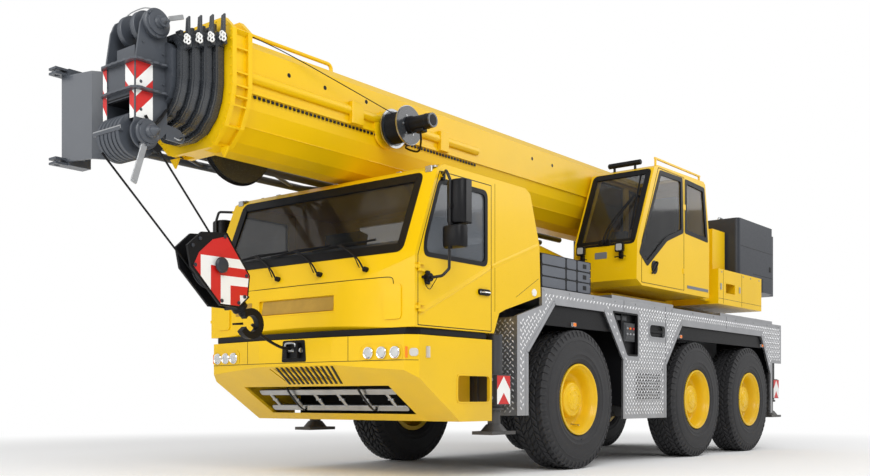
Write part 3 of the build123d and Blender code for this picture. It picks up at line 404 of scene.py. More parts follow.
class Shape:
    """Mesh collector in metres: x from the front axle, y to the left, z up."""

    def __init__(self, side=1, place=None):
        self.points = []
        self.faces = []
        self.side = side
        self.place = place

    def add(self, points, faces):
        start = len(self.points)
        for point in points:
            spot = Vector(point)
            if self.place is not None:
                spot = self.place @ spot
            self.points.append((spot.x + AXLE_X, spot.y * self.side, spot.z))
        self.faces += [[start + i for i in face] for face in faces]

    def skin(self, rings, caps=True, wrap=False):
        """Join rings of equally many points, one after the other."""
        count = len(rings[0])
        assert all(len(ring) == count for ring in rings)
        faces = []
        for level in range(len(rings) if wrap else len(rings) - 1):
            low = level * count
            high = (level + 1) % len(rings) * count
            for i in range(count):
                j = (i + 1) % count
                faces.append((low + i, low + j, high + j, high + i))
        if caps and not wrap:
            faces.append(tuple(reversed(range(count))))
            faces.append(tuple((len(rings) - 1) * count + i for i in range(count)))
        self.add([p for ring in rings for p in ring], faces)

    def box(self, x0, x1, y0, y1, z0, z1, bevel=0.004):
        bevel = min(bevel, (x1 - x0) / 3, (y1 - y0) / 3, (z1 - z0) / 3)
        outline = []
        for x, y, dx, dy in ((x0, y0, 1, 1), (x1, y0, -1, 1), (x1, y1, -1, -1), (x0, y1, 1, -1)):
            pair = [(x + dx * bevel, y), (x, y + dy * bevel)]
            outline += pair if (dx, dy) in ((-1, 1), (1, -1)) else pair[::-1]
        outline = oriented(outline)
        self.plate(outline, "z", z0, z1, bevel * 0.7)

    def plate(self, outline, axis, low, high, bevel=0.002):
        """Outline across an axis, thickened from low to high, edges broken."""
        outline = oriented(outline)
        bevel = min(bevel, (high - low) / 3)
        small = inset(outline, bevel)
        self.skin([[on_axis(axis, a, b, h) for a, b in loop]
                   for loop, h in ((small, low), (outline, low + bevel), (outline, high - bevel),
                                   (small, high))])

    def band(self, outer, inner, put, low, high):
        """Frame between two outlines with equally many points, laid on a surface."""
        self.skin([[put(a, b, h) for a, b in loop]
                   for loop, h in ((outer, low), (outer, high), (inner, high), (inner, low))], wrap=True)

    def rod(self, start, end, radius, sides=16, bevel=0.002, end_radius=None):
        start, end = Vector(start), Vector(end)
        end_radius = radius if end_radius is None else end_radius
        way = end - start
        bevel = min(bevel, way.length / 3, radius / 3)
        way.normalize()
        turn = Vector((0, 0, 1)).rotation_difference(way)
        rings = []
        for spot, r in ((start, radius - bevel), (start + way * bevel, radius),
                        (end - way * bevel, end_radius), (end, end_radius - bevel)):
            rings.append([spot + turn @ Vector((a, b, 0)) for a, b in circle(sides, r)])
        self.skin(rings)

    def lathe(self, profile, centre, axis, sides=48, closed=False):
        """Profile of radius and height turned round an axis through a centre."""
        turn = Vector((0, 0, 1)).rotation_difference(axis if isinstance(axis, Vector) else AXIS[axis])
        centre = Vector(centre)
        rings = []
        for r, h in profile:
            rings.append([centre + turn @ Vector((a, b, h)) for a, b in circle(sides, max(r, 1e-4))])
        self.skin(rings, wrap=closed)

    def tube(self, points, radius, sides=10, steps=8, squash=None, closed=False):
        """Round bar along a soft curve."""
        path = smooth_path(points, steps) if steps else [Vector(p) for p in points]
        ahead = (path[1] - path[0]).normalized()
        side = ahead.orthogonal().normalized() if squash is None else Vector(squash)
        rings = []
        for i, spot in enumerate(path):
            now = (path[min(i + 1, len(path) - 1)] - path[max(i - 1, 0)]).normalized()
            side = (side - now * side.dot(now)).normalized()
            other = now.cross(side)
            rings.append([spot + side * a + other * (b if squash is None else b * 0.3)
                          for a, b in circle(sides, radius)])
        self.skin(rings, caps=not closed, wrap=closed)

    def ring(self, centre, axis, radius, thick, sides=40, around=8):
        """A torus."""
        self.lathe([(radius + a, b) for a, b in circle(around, thick)], centre, axis, sides, closed=True)

    def bolt(self, centre, axis, radius=0.011, height=0.009):
        """Hexagon head on a washer."""
        self.lathe([(radius * 1.35, 0), (radius * 1.35, height * 0.3), (radius * 1.1, height * 0.3)],
                   centre, axis, 12)
        self.lathe([(radius, 0), (radius, height * 0.85), (radius * 0.8, height)], centre, axis, 6)

    def pads(self, outline, put, low, high):
        """Solid patch over a dense outline laid on a curved surface."""
        outline = oriented(outline)
        middle = (sum(a for a, b in outline) / len(outline), sum(b for a, b in outline) / len(outline))
        rings = []
        for share, h in ((1, low), (1, high), (0.75, high), (0.5, high), (0.25, high), (0.01, high)):
            rings.append([put(middle[0] + (a - middle[0]) * share, middle[1] + (b - middle[1]) * share, h)
                          for a, b in outline])
        self.skin(rings, caps=True)

    def made(self, name, finish_name, sharp=32):
        """The collected mesh as a Blender object, smooth up to an angle."""
        mesh = bpy.data.meshes.new(name)
        mesh.from_pydata(self.points, [], self.faces)
        work = bmesh.new()
        work.from_mesh(mesh)
        bmesh.ops.remove_doubles(work, verts=work.verts, dist=2e-5)
        bmesh.ops.recalc_face_normals(work, faces=work.faces)
        work.to_mesh(mesh)
        work.free()
        mesh.shade_smooth()
        mesh.set_sharp_from_angle(angle=math.radians(sharp))
        piece = bpy.data.objects.new(name, mesh)
        bpy.context.scene.collection.objects.link(piece)
        mesh.materials.append(MATERIAL[finish_name])
        return piece

    def done(self, name, body, finish_name, sharp=32, stands_for=()):
        """Finish the piece and let it move with a body."""
        piece = self.made(name, finish_name, sharp)
        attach(piece, body)
        if stands_for:
            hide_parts(*stands_for)
        return piece


# ---------------------------------------------------------------- wheels
TYRE_R, TYRE_HALF, RIM_R = 0.685, 0.1925, 0.345
WHEEL_Y = 1.062


def arc_block(shape, low, high, h0, h1, angle, width, slant=0.0, bevel=0.006):
    """Tread lug between two radii and two heights, slanted across its row."""
    corners = []
    for r, cut in ((low, 0.0), (high - bevel, 0.0), (high, bevel)):
        ring = []
        for h, a in ((h0 + cut, -1), (h1 - cut, -1), (h1 - cut, 1), (h0 + cut, 1)):
            share = (h - (h0 + h1) / 2) / TYRE_HALF
            turn = angle + a * (width / 2 - cut) / TYRE_R + slant * share
            ring.append((r * math.sin(turn), r * math.cos(turn), h))
        corners.append(ring)
    shape.skin(corners)


def tyre_shape():
    """Lugged tyre round z, its outer side up."""
    shape = Shape()
    groove = TYRE_R - 0.017
    half = TYRE_HALF
    outer = [(RIM_R - 0.004, half - 0.047), (RIM_R + 0.012, half - 0.03), (RIM_R + 0.03, half - 0.018),
             (0.398, half - 0.012), (0.401, half - 0.0095), (0.407, half - 0.0095), (0.41, half - 0.0105),
             (0.44, half - 0.004), (0.443, half - 0.0015), (0.449, half - 0.0015), (0.452, half - 0.003),
             (0.5, half), (0.54, half - 0.0015), (0.575, half - 0.006), (0.578, half - 0.003),
             (0.586, half - 0.004), (0.589, half - 0.008), (0.62, half - 0.017), (0.645, half - 0.026),
             (groove - 0.004, half - 0.038), (groove, half - 0.06)]
    shape.lathe(outer + [(r, -h) for r, h in reversed(outer)], (0, 0, 0), "z", 96, closed=True)
    count = 56
    for k in range(count):
        angle = k * math.tau / count
        step = math.tau / count
        arc_block(shape, groove - 0.003, TYRE_R, -0.03, 0.03, angle, 0.056, 0.35)
        for side in (1, -1):
            shift = angle + step / 2 * side
            h0, h1 = sorted((side * 0.041, side * 0.09))
            arc_block(shape, groove - 0.003, TYRE_R, h0, h1, shift, 0.058, -0.3 * side)
            h0, h1 = sorted((side * 0.101, side * 0.16))
            arc_block(shape, groove - 0.003, TYRE_R - 0.002, h0, h1, shift + step / 2, 0.054, 0.25 * side)
            shoulder(shape, shift + step / 2, side)
    shape.tube([(0.4 * math.sin(0.3), 0.4 * math.cos(0.3), half - 0.02),
                (0.385 * math.sin(0.3), 0.385 * math.cos(0.3), half + 0.0)], 0.004, 6, 2)
    return shape


def shoulder(shape, angle, side):
    """The part of a shoulder lug that runs down the side of the tyre."""
    half = TYRE_HALF
    rings = []
    for r, h in ((TYRE_R - 0.004, half - 0.036), (0.658, half - 0.021), (0.622, half - 0.012),
                 (0.606, half - 0.016)):
        ring = []
        for a, lift in ((-1, 0.012), (-0.8, 0.0), (0.8, 0.0), (1, 0.012)):
            turn = angle + a * 0.02 / TYRE_R
            ring.append(((r - lift * 0.3) * math.sin(turn), (r - lift * 0.3) * math.cos(turn),
                         side * (h - lift)))
        rings.append(ring)
    shape.skin(rings)


def rim_shape():
    """Smooth deep-dished rim round z, with its hub and cap."""
    shape = Shape()
    half = TYRE_HALF
    lip = [(RIM_R - 0.001, half - 0.034), (RIM_R + 0.006, half - 0.026), (RIM_R + 0.007, half - 0.02),
           (RIM_R + 0.002, half - 0.013), (RIM_R - 0.01, half - 0.013), (RIM_R - 0.016, half - 0.02),
           (RIM_R - 0.022, half - 0.036), (0.318, half - 0.042), (0.308, half - 0.054), (0.302, half - 0.07),
           (0.293, 0.1), (0.288, 0.06), (0.281, 0.036), (0.27, 0.022), (0.256, 0.016), (0.235, 0.015),
           (0.195, 0.0165), (0.183, 0.02), (0.176, 0.03), (0.1735, 0.05), (0.1725, 0.082), (0.168, 0.092),
           (0.16, 0.0975), (0.15, 0.0995), (0.118, 0.101), (0.112, 0.105), (0.106, 0.112), (0.096, 0.116),
           (0.045, 0.118), (0.04, 0.1215), (0.034, 0.1225), (0.0001, 0.1225)]
    back = [(0.0001, 0.06), (0.09, 0.06), (0.092, -0.02), (0.25, -0.02), (0.3, 0.01),
            (0.3, -half + 0.03), (RIM_R - 0.02, -half + 0.03), (RIM_R - 0.001, -half + 0.032)]
    shape.lathe(lip + back, (0, 0, 0), "z", 96, closed=True)
    for radius, height in ((0.135, 0.1002), (0.072, 0.117), (0.215, 0.0158), (0.33, half - 0.0375)):
        shape.ring((0, 0, height), "z", radius, 0.0022, 60, 6)
    for b, a in circle(6, 0.09, 0.5):
        shape.lathe([(0.0001, 0.0), (0.008, 0.0), (0.008, 0.004), (0.006, 0.006), (0.0001, 0.006)],
                    (a, b, 0.116), "z", 6)
    return shape


def valve_shape():
    """Valve stem and its guard in the dish of the rim."""
    shape = Shape()
    shape.tube([(0.0, 0.262, 0.018), (0.0, 0.266, 0.045), (0.0, 0.272, 0.095)], 0.005, 8, 5)
    shape.rod((0.0, 0.272, 0.09), (0.0, 0.274, 0.112), 0.0065, 10)
    return shape


def inner_hub():
    """Drum, brake plate and spring chamber behind the rim."""
    shape = Shape()
    shape.lathe([(0.0001, -0.1), (0.215, -0.1), (0.225, -0.09), (0.225, -0.03), (0.18, -0.021),
                 (0.0001, -0.021)], (0, 0, 0), "z", 48)
    shape.lathe([(0.06, -0.185), (0.08, -0.185), (0.085, -0.175), (0.085, -0.14), (0.12, -0.101),
                 (0.06, -0.101)], (0, 0, 0), "z", 32)
    return shape


def wheels():
    """Six steered wheels: tyre, rim, valve and drum are copies of one mesh each, turned and placed."""
    kinds = (("tyre", tyre_shape(), "tyre"), ("rim", rim_shape(), "yellow"),
             ("valve", valve_shape(), "steel"), ("drum", inner_hub(), "frame_grey"))
    meshes = {}
    for kind, shape, finish_name in kinds:
        shape.points = [(x - AXLE_X, y, z) for x, y, z in shape.points]
        first = shape.made(kind + "_mesh", finish_name)
        meshes[kind] = first.data
        bpy.data.objects.remove(first)
    for axle_name, x in AXLES:
        for side_name, side in SIDES:
            tag = axle_name + "_" + side_name
            for kind, shape, finish_name in kinds:
                mesh = meshes[kind].copy()
                mesh.transform(Matrix.Translation((x + AXLE_X, side * WHEEL_Y, TYRE_R))
                               @ Matrix.Rotation(math.radians(-90 * side), 4, "X")
                               @ Matrix.Rotation(0.37 * (x + side), 4, "Z"))
                piece = bpy.data.objects.new("wheel_" + kind + "_" + tag, mesh)
                bpy.context.scene.collection.objects.link(piece)
                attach(piece, "wheel_" + tag)
                if kind in ("tyre", "rim"):
                    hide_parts(kind + "_" + tag)


# ---------------------------------------------------------------- skirts and deck
SKIRT = [(0.7, 1.73), (0.7, 1.56), (1.11, 1.44), (1.11, 0.54), (0.95, 0.54), (0.95, 1.12),
         (0.48, 1.6), (-0.48, 1.6), (-0.89, 1.11), (-0.89, 0.48), (-1.87, 0.48), (-1.87, 1.08),
         (-2.29, 1.56), (-4.8, 1.56), (-5.15, 1.04), (-5.15, 0.5), (-5.2, 0.5),
         (-5.2, 1.19), (-5.54, 1.19), (-5.54, 1.73)]
RECESS = [(-0.65, 1.6), (-1.2, 1.6), (-1.2, 1.15), (-0.975, 1.15)]
SLOT = rectangle(-1.86, -1.48, 1.375, 1.51)
BODY_Y = 1.25
SLEW_X = -2.72


def on_side(a, b, h):
    """Place on the body's side plane."""
    return (a, BODY_Y + h, b)


def studs(shape, outline, holes, put, pitch=0.064, size=0.025, thick=0.0095, high=0.0026):
    """Chequer pattern: raised lozenges in two directions over an outline."""
    outline = oriented(outline)
    low_a = min(a for a, b in outline)
    low_b = min(b for a, b in outline)
    for i in range(int((max(a for a, b in outline) - low_a) / (pitch / 2)) + 1):
        for j in range(int((max(b for a, b in outline) - low_b) / (pitch / 2)) + 1):
            if (i + j) % 2:
                continue
            a, b = low_a + i * pitch / 2, low_b + j * pitch / 2
            turn = 1 if i % 2 else -1
            tips = [(a - size * 0.7, b - turn * size * 0.7), (a + size * 0.7, b + turn * size * 0.7)]
            if any(not inside(tip, outline) or any(inside(tip, hole) for hole in holes) for tip in tips):
                continue
            ring = [tips[0], (a + thick * 0.7, b - turn * thick * 0.7), tips[1],
                    (a - thick * 0.7, b + turn * thick * 0.7)]
            ridge = [(a - size * 0.3, b - turn * size * 0.3), (a + size * 0.3, b + turn * size * 0.3)]
            points = [put(p, q, -0.0004) for p, q in ring] + [put(p, q, high) for p, q in ridge]
            shape.add(points, [(0, 1, 4), (1, 2, 5, 4), (2, 3, 5), (3, 0, 4, 5)])


def skirts():
    """Chequer studs, bright arch edges, seams and the fittings on the side plates."""
    plain = inset(oriented(SKIRT), 0.028)
    holes = [inset(oriented(RECESS), -0.035), inset(oriented(SLOT), -0.03)]
    for side_name, side in SIDES:
        shape = Shape(side)
        raised = Shape(side)
        studs(raised, plain, holes, on_side)
        raised.done("skirt_studs_" + side_name, "chassis", "stud_highlight")
        for arch in (SKIRT[4:10], SKIRT[10:16]):
            edge_strip(shape, [(x, BODY_Y - 0.004, z) for x, z in arch])
        shape.done("skirt_chequer_" + side_name, "chassis", "chequer")
        trim = Shape(side)
        for x, low in ((-0.89, 1.62), (-1.87, 1.1), (-3.6, 1.58)):
            trim.box(x - 0.0025, x + 0.0025, BODY_Y - 0.002, BODY_Y + 0.0012, low, 1.73, 0.0005)
        trim.done("skirt_seams_" + side_name, "chassis", "black")
        bolts = Shape(side)
        for x in (0.66, 0.2, -0.25, -0.7, -1.15, -1.6, -2.05, -2.6, -3.2, -3.9, -4.5, -5.0, -5.45):
            bolts.bolt((x, BODY_Y, 1.705), "y", 0.009, 0.007)
        for x, z in ((1.03, 0.62), (1.03, 1.36), (-0.95, 0.55), (-1.8, 0.55), (-0.95, 1.04), (-1.8, 1.02)):
            bolts.bolt((x, BODY_Y, z), "y", 0.01, 0.008)
        bolts.done("skirt_bolts_" + side_name, "chassis", "steel")
        recess_fittings(side, side_name)
        perforated_field(side, side_name)
        side_slot(side, side_name)
        deck_covers(side, side_name)


def edge_strip(shape, path):
    """Bright flat strip with a rolled edge along a wheel arch."""
    for a, b in zip(path, path[1:]):
        a, b = Vector(a), Vector(b)
        way = (b - a).normalized()
        out = Vector((way.z, 0, -way.x))
        ring = []
        for spot in (a, b):
            ring.append([spot + out * p + Vector((0, q, 0)) for p, q in
                         ((-0.02, 0.0), (-0.02, 0.0065), (0.02, 0.0065), (0.02, 0.0))])
        shape.skin(ring)


def recess_fittings(side, side_name):
    """Recess with black walls that are painted shade, a grey control box and coloured buttons."""
    frame = Shape(side)
    # black band lining the recess walls: painted shade inside the recess
    outer = rounded(inset(oriented(RECESS), -0.004), 0.03)
    inner = inset(outer, 0.018)
    frame.band(outer, inner, on_side, -0.03, 0.003)
    frame.done("recess_rim_" + side_name, "chassis", "black")
    box = Shape(side)
    box.box(-1.17, -0.93, 1.202, 1.232, 1.3, 1.5, 0.008)
    box.box(-1.15, -0.95, 1.232, 1.236, 1.32, 1.48, 0.002)
    box.box(-1.02, -0.78, 1.202, 1.212, 1.52, 1.57, 0.004)
    box.done("recess_box_" + side_name, "chassis", "frame_grey")
    for tag, look, spots in (("red", "red", ((-1.12, 1.44),)), ("yellow", "orange", ((-1.05, 1.44),)),
                             ("green", "chequer",
                              ((-1.12, 1.38), (-1.05, 1.38), (-0.985, 1.38), (-0.985, 1.44)))):
        shape = Shape(side)
        for x, z in spots:
            shape.lathe([(0.014, 0.0), (0.014, 0.006), (0.011, 0.012), (0.0001, 0.012)], (x, 1.2355, z), "y",
                        20)
        shape.done("recess_button_%s_%s" % (tag, side_name), "chassis", look)
    hose = Shape(side)
    hose.tube([(-0.8, 1.205, 1.53), (-0.86, 1.214, 1.42), (-0.93, 1.21, 1.36)], 0.007, 8)
    hose.tube([(-0.76, 1.205, 1.53), (-0.83, 1.214, 1.38), (-0.93, 1.21, 1.33)], 0.007, 8)
    hose.done("recess_hose_" + side_name, "chassis", "black")


def perforated_field(side, side_name):
    """Field of round holes in the lower side plate, in a dark sheet: black discs that are painted shade
    inside the holes.
    """
    hole_shade = Shape(side)
    for i in range(16):
        for j in range(9):
            x = -1.73 + i * 0.036 + (j % 2) * 0.018
            z = 0.7 + j * 0.032
            hole_shade.lathe([(0.0105, 0.0), (0.0105, 0.002), (0.0001, 0.0021)], (x, BODY_Y - 0.0004, z), "y", 10)
    hole_shade.done("skirt_holes_" + side_name, "chassis", "black")
    rim = Shape(side)
    outer = rounded(rectangle(-1.77, -1.13, 0.665, 0.995), 0.03)
    rim.band(outer, inset(outer, 0.012), on_side, -0.001, 0.002)
    rim.done("skirt_holes_rim_" + side_name, "chassis", "chequer")


def side_slot(side, side_name):
    """Rim of the slot behind the control recess, and its black back, a painted shade inside the slot."""
    rim = Shape(side)
    outer = rounded(inset(oriented(SLOT), -0.012), 0.06)
    rim.band(outer, rounded(inset(oriented(SLOT), 0.002), 0.055),
             on_side, -0.03, 0.003)
    rim.done("slot_rim_" + side_name, "chassis", "chequer")
    back = Shape(side)
    # black back of the slot: painted shade inside it
    back.box(-1.9, -1.44, 1.2, 1.212, 1.34, 1.545, 0.003)
    back.box(-1.84, -1.5, 1.212, 1.228, 1.425, 1.455, 0.004)
    back.done("slot_back_shade_" + side_name, "chassis", "black")


def deck_covers(side, side_name):
    """Studs and lifting grips of the deck and its raised lids."""
    top = Shape(side)
    studs(top, rectangle(-5.52, 0.69, 0.02, 0.99), [ring_hole(), rectangle(-0.33, 0.7, 0.52, 1.2)],
          lambda a, b, h: (a, b, 1.73 + h), 0.06, 0.021, 0.008)
    for x0, x1 in ((-2.15, -0.7), (-5.3, -3.5)):
        studs(top, rectangle(x0 + 0.02, x1 - 0.02, 1.02, 1.2), [], lambda a, b, h: (a, b, 1.775 + h), 0.06,
              0.021, 0.008)
    top.done("deck_chequer_" + side_name, "chassis", "stud_highlight")
    grip = Shape(side)
    for x in (-1.75, -1.1, -4.95, -4.4, -3.85):
        grip.tube([(x - 0.05, 1.11, 1.776), (x - 0.045, 1.11, 1.792), (x + 0.045, 1.11, 1.792),
                   (x + 0.05, 1.11, 1.776)], 0.005, 8, 4)
    grip.done("deck_grips_" + side_name, "chassis", "steel")


def ring_hole():
    return [(SLEW_X + a, b) for a, b in circle(40, 0.83)]


# ---------------------------------------------------------------- bumper
BUMPER_LINE = ((0.0, 2.655), (0.45, 2.655), (1.17, 2.575), (1.25, 2.48))


def rake_x(z):
    """Front of the raked lower face at a height."""
    return 1.95 + (z - 0.5) * 1.5


def bumper_x(y, z):
    """Front of the bumper at a place across and up."""
    x = along(BUMPER_LINE, abs(y), BUMPER_LINE[-1][1])
    if z < 1.0:
        x = min(x, rake_x(z))
    return x


def on_bumper(y, z, h):
    return (bumper_x(y, z) + h, y, z)


def on_rake(y, z, h):
    """Place on the raked lower face."""
    return (rake_x(z) + h * 0.83, y, z - h * 0.55)


def bumper():
    """Lamp recesses, seams, tow bracket, ladder and steps."""
    for side_name, side in SIDES:
        dark = Shape(side)
        outline = rounded([(0.745, 1.003), (1.16, 1.003), (1.16, 1.105), (1.11, 1.135), (0.79, 1.135),
                           (0.745, 1.105)], 0.03)
        outer = dense(oriented(outline), 0.05)
        dark.band(outer, inset(outer, 0.007), on_bumper, -0.002, 0.004)
        dark.done("lamp_recess_rim_" + side_name, "chassis", "yellow")
        plate = Shape(side)
        plate.pads(dense(oriented(outline), 0.05), on_bumper, -0.002, 0.0015)
        plate.done("lamp_recess_" + side_name, "chassis", "yellow")
        bezel = Shape(side)
        lens = Shape(side)
        for y in (0.83, 0.96, 1.09):
            x = 2.655 - 0.08 * (y - 0.45) / 0.72 + 0.014
            bezel.lathe([(0.0451, -0.012), (0.05, -0.012), (0.051, 0.0), (0.047, 0.006), (0.04, 0.004),
                         (0.038, 0.0)], (x, y, 1.06), "x", 32, closed=True)
            lens.lathe([(0.0001, 0.007), (0.015, 0.0065), (0.028, 0.0045), (0.039, 0.0005)],
                       (x, y, 1.06), "x", 32)
            for r in (0.012, 0.024):
                lens.ring((x + 0.006 - r * 0.08, y, 1.06), "x", r, 0.0012, 28, 6)
        bezel.done("lamp_bezels_" + side_name, "chassis", "chrome")
        lens.done("lamp_lenses_" + side_name, "chassis", "lamp")
        marker = Shape(side)
        for x, z in ((0.1, 1.415), (-2.29, 1.415), (-4.85, 1.415)):
            marker.plate(rounded(rectangle(x - 0.026, x + 0.026, z - 0.016, z + 0.016), 0.006), "y",
                         1.2405, 1.247, 0.003)
        turn = Matrix.Translation((2.5275, 1.21, 1.06)) @ Matrix.Rotation(math.radians(-40.1), 4, "Z")
        marker.place = turn
        marker.plate(rounded(rectangle(0.034, 0.054, -0.045, 0.045), 0.008), "y", 0.0005, 0.009, 0.003)
        marker.done("side_markers_" + side_name, "chassis", "orange")
        facet = Shape(side)
        facet.place = turn
        facet.plate(rounded([(-0.052, -0.032), (0.02, -0.032), (0.02, 0.032), (-0.052, 0.032)], 0.028), "y",
                    0.0005, 0.01, 0.004)
        facet.done("corner_lamp_" + side_name, "chassis", "lamp")
        seams = Shape(side)
        seams.tube([on_bumper(0.62, z, 0.0005) for z in (1.205, 1.1, 1.002)], 0.0022, 6, 0)
        seams.tube([on_bumper(y, 0.998, 0.0005) for y in (0.0, 0.2, 0.45, 0.8, 1.17, 1.245)], 0.0022, 6, 0)
        seams.done("bumper_seams_" + side_name, "chassis", "black")
        bumper_steps(side, side_name)
    # black pads on the raked face: painted shade inside the slots
    slots = Shape()
    for number in range(12):
        top = -0.23 + 0.061 * number
        low = -0.281 + 0.0576 * number
        slots.pads(dense([(top - 0.011, 0.962), (top + 0.011, 0.962), (low + 0.011, 0.822),
                          (low - 0.011, 0.822)], 0.05),
                   on_rake, 0.0, 0.007)
    slots.done("bumper_slot_shade", "chassis", "black")
    # black back and floor plates of the bumper's lower opening: painted shade inside the opening
    opening_shade = Shape()
    opening_shade.box(1.64, 1.652, -0.98, 0.98, 0.54, 0.985, 0.003)
    opening_shade.box(1.652, 1.98, -0.93, 0.93, 0.54, 0.548, 0.003)
    opening_shade.done("nose_opening_shade", "chassis", "black")
    tow_bracket()
    bumper_ladder()


def bumper_steps(side, side_name):
    """Treads, rim and back of the side steps, and the studs on the arch wall behind."""
    tread = Shape(side)
    for z in (0.925, 0.64):
        length = 2.0 if z > 0.8 else 1.9
        studs(tread, rectangle(1.54, length - 0.02, 1.03, 1.215), [], lambda a, b, h: (a, b, z + h), 0.05)
        for k in range(9):
            x = 1.56 + k * 0.04
            tread.box(x - 0.004, x + 0.004, 1.212, 1.2265, z - 0.028, z - 0.006, 0.001)
    tread.done("step_treads_" + side_name, "chassis", "stud_highlight")
    edge = Shape(side)
    outer = rounded(rectangle(1.522, 1.998, 0.652, 0.898), 0.05)
    edge.band(outer, inset(outer, 0.014), lambda a, b, h: (a, 1.25 + h, b), -0.02, 0.004)
    edge.done("step_rim_" + side_name, "chassis", "yellow")
    back = Shape(side)
    back.plate([(1.5, 0.6), (2.08, 0.6), (2.36, 0.8), (2.36, 0.95), (1.5, 0.95)], "y", 1.005, 1.012, 0.002)
    back.done("step_back_" + side_name, "chassis", "yellow")
    wall = Shape(side)
    studs(wall, rectangle(0.705, 1.215, 0.55, 1.425), [], lambda a, b, h: (1.11 + h, a, b), 0.055, 0.021,
          0.009)
    wall.done("arch_wall_studs_" + side_name, "chassis", "stud_highlight")


def tow_bracket():
    """Pin, chain, shackle, covers and plate of the towing jaw."""
    shape = Shape()
    shape.rod((2.672, -0.098, 1.102), (2.672, 0.098, 1.102), 0.015, 20)
    shape.rod((2.672, 0.098, 1.102), (2.672, 0.112, 1.102), 0.022, 20)
    for y in (-0.1, 0.1):
        for z in (1.05, 1.15):
            shape.bolt((2.641, y, z), "x", 0.011, 0.01)
    shape.tube([(2.66, 0.112, 1.102), (2.655, 0.118, 1.06), (2.652, 0.1, 1.02), (2.652, 0.07, 1.035)], 0.0028,
               6)
    shape.tube([(2.69, -0.06, 1.12), (2.702, -0.05, 1.16), (2.702, 0.05, 1.16), (2.69, 0.06, 1.12)], 0.009,
               10)
    shape.done("tow_jaw_pin", "chassis", "steel")
    cover = Shape()
    for y0, y1 in ((-0.087, -0.043), (0.043, 0.087)):
        cover.box(2.64, 2.7015, y0, y1, 1.036, 1.168, 0.003)
    cover.box(2.662, 2.672, -0.045, 0.045, 1.036, 1.168, 0.003)
    cover.done("tow_jaw_covers", "chassis", "black")
    plate = Shape()
    plate.plate(rounded([(-0.15, 1.005), (0.15, 1.005), (0.135, 1.19), (-0.135, 1.19)], 0.02), "x",
                2.654, 2.661, 0.002)
    plate.done("tow_jaw_plate", "chassis", "black")


def bumper_ladder():
    """Aluminium ladder carried in the lower opening, with a strap."""
    rails = Shape()
    low, high = (2.075, 0.615), (2.235, 0.755)
    for x, z in (low, high):
        rails.place = Matrix.Translation((x, 0, z)) @ Matrix.Rotation(math.radians(-49), 4, "Y")
        rails.plate(rounded(rectangle(-0.03, 0.03, -0.9, 0.8), 0.028), "z", -0.012, 0.012, 0.003)
        rails.plate(rounded(rectangle(-0.022, 0.022, -0.885, 0.785), 0.02), "z", 0.012, 0.016, 0.002)
    rails.place = None
    for k in range(6):
        y = -0.78 + k * 0.29
        rails.tube([(low[0] + 0.01, y, low[1] + 0.01), (high[0] - 0.01, y, high[1] - 0.01)], 0.017, 12, 0)
        rails.box(2.14, 2.17, y - 0.03, y + 0.03, 0.675, 0.695, 0.004)
    rails.done("ladder", "chassis", "steel")
    strap = Shape()
    for y in (-0.46, 0.42):
        strap.tube([(2.02, y, 0.6), (2.12, y, 0.6), (2.27, y, 0.735), (2.3, y, 0.79), (2.22, y, 0.8)],
                   0.016, 8, 4, squash=(0, 1, 0))
        strap.box(2.2, 2.235, y - 0.022, y + 0.022, 0.735, 0.775, 0.004)
    strap.done("ladder_straps", "chassis", "black")
    pipes = Shape()
    pipes.tube([(1.8, -0.95, 0.99), (2.05, -0.85, 0.93), (2.15, -0.3, 0.9), (2.15, 0.4, 0.9),
                (2.05, 0.9, 0.95), (1.8, 0.98, 1.0)], 0.014, 8)
    pipes.tube([(1.8, -0.9, 0.93), (2.0, -0.8, 0.87), (2.1, -0.3, 0.85), (2.1, 0.4, 0.86),
                (2.0, 0.8, 0.9), (1.8, 0.95, 0.94)], 0.011, 8)
    pipes.tube([(1.62, 0.95, 0.72), (1.95, 0.85, 0.82), (2.0, 0.2, 0.83), (1.95, -0.6, 0.82),
                (1.65, -0.95, 0.76)], 0.012, 8)
    pipes.done("bumper_hoses", "chassis", "black")


# ---------------------------------------------------------------- carrier cab
CAB_LINE = ((1.26, 2.56), (1.3, 2.6), (1.64, 2.59), (1.86, 2.53), (2.55, 2.25), (2.6, 2.17))


def cab_x(y, z):
    """Front of the cab at a place across and up."""
    return min(along(CAB_LINE, z, CAB_LINE[-1][1]), 2.6 - 0.06 * (y / BODY_Y) ** 2)


def on_cab(y, z, h):
    lean = 0.375 if z > 1.86 else 0.1
    return (cab_x(y, z) + h, y, z + h * lean)


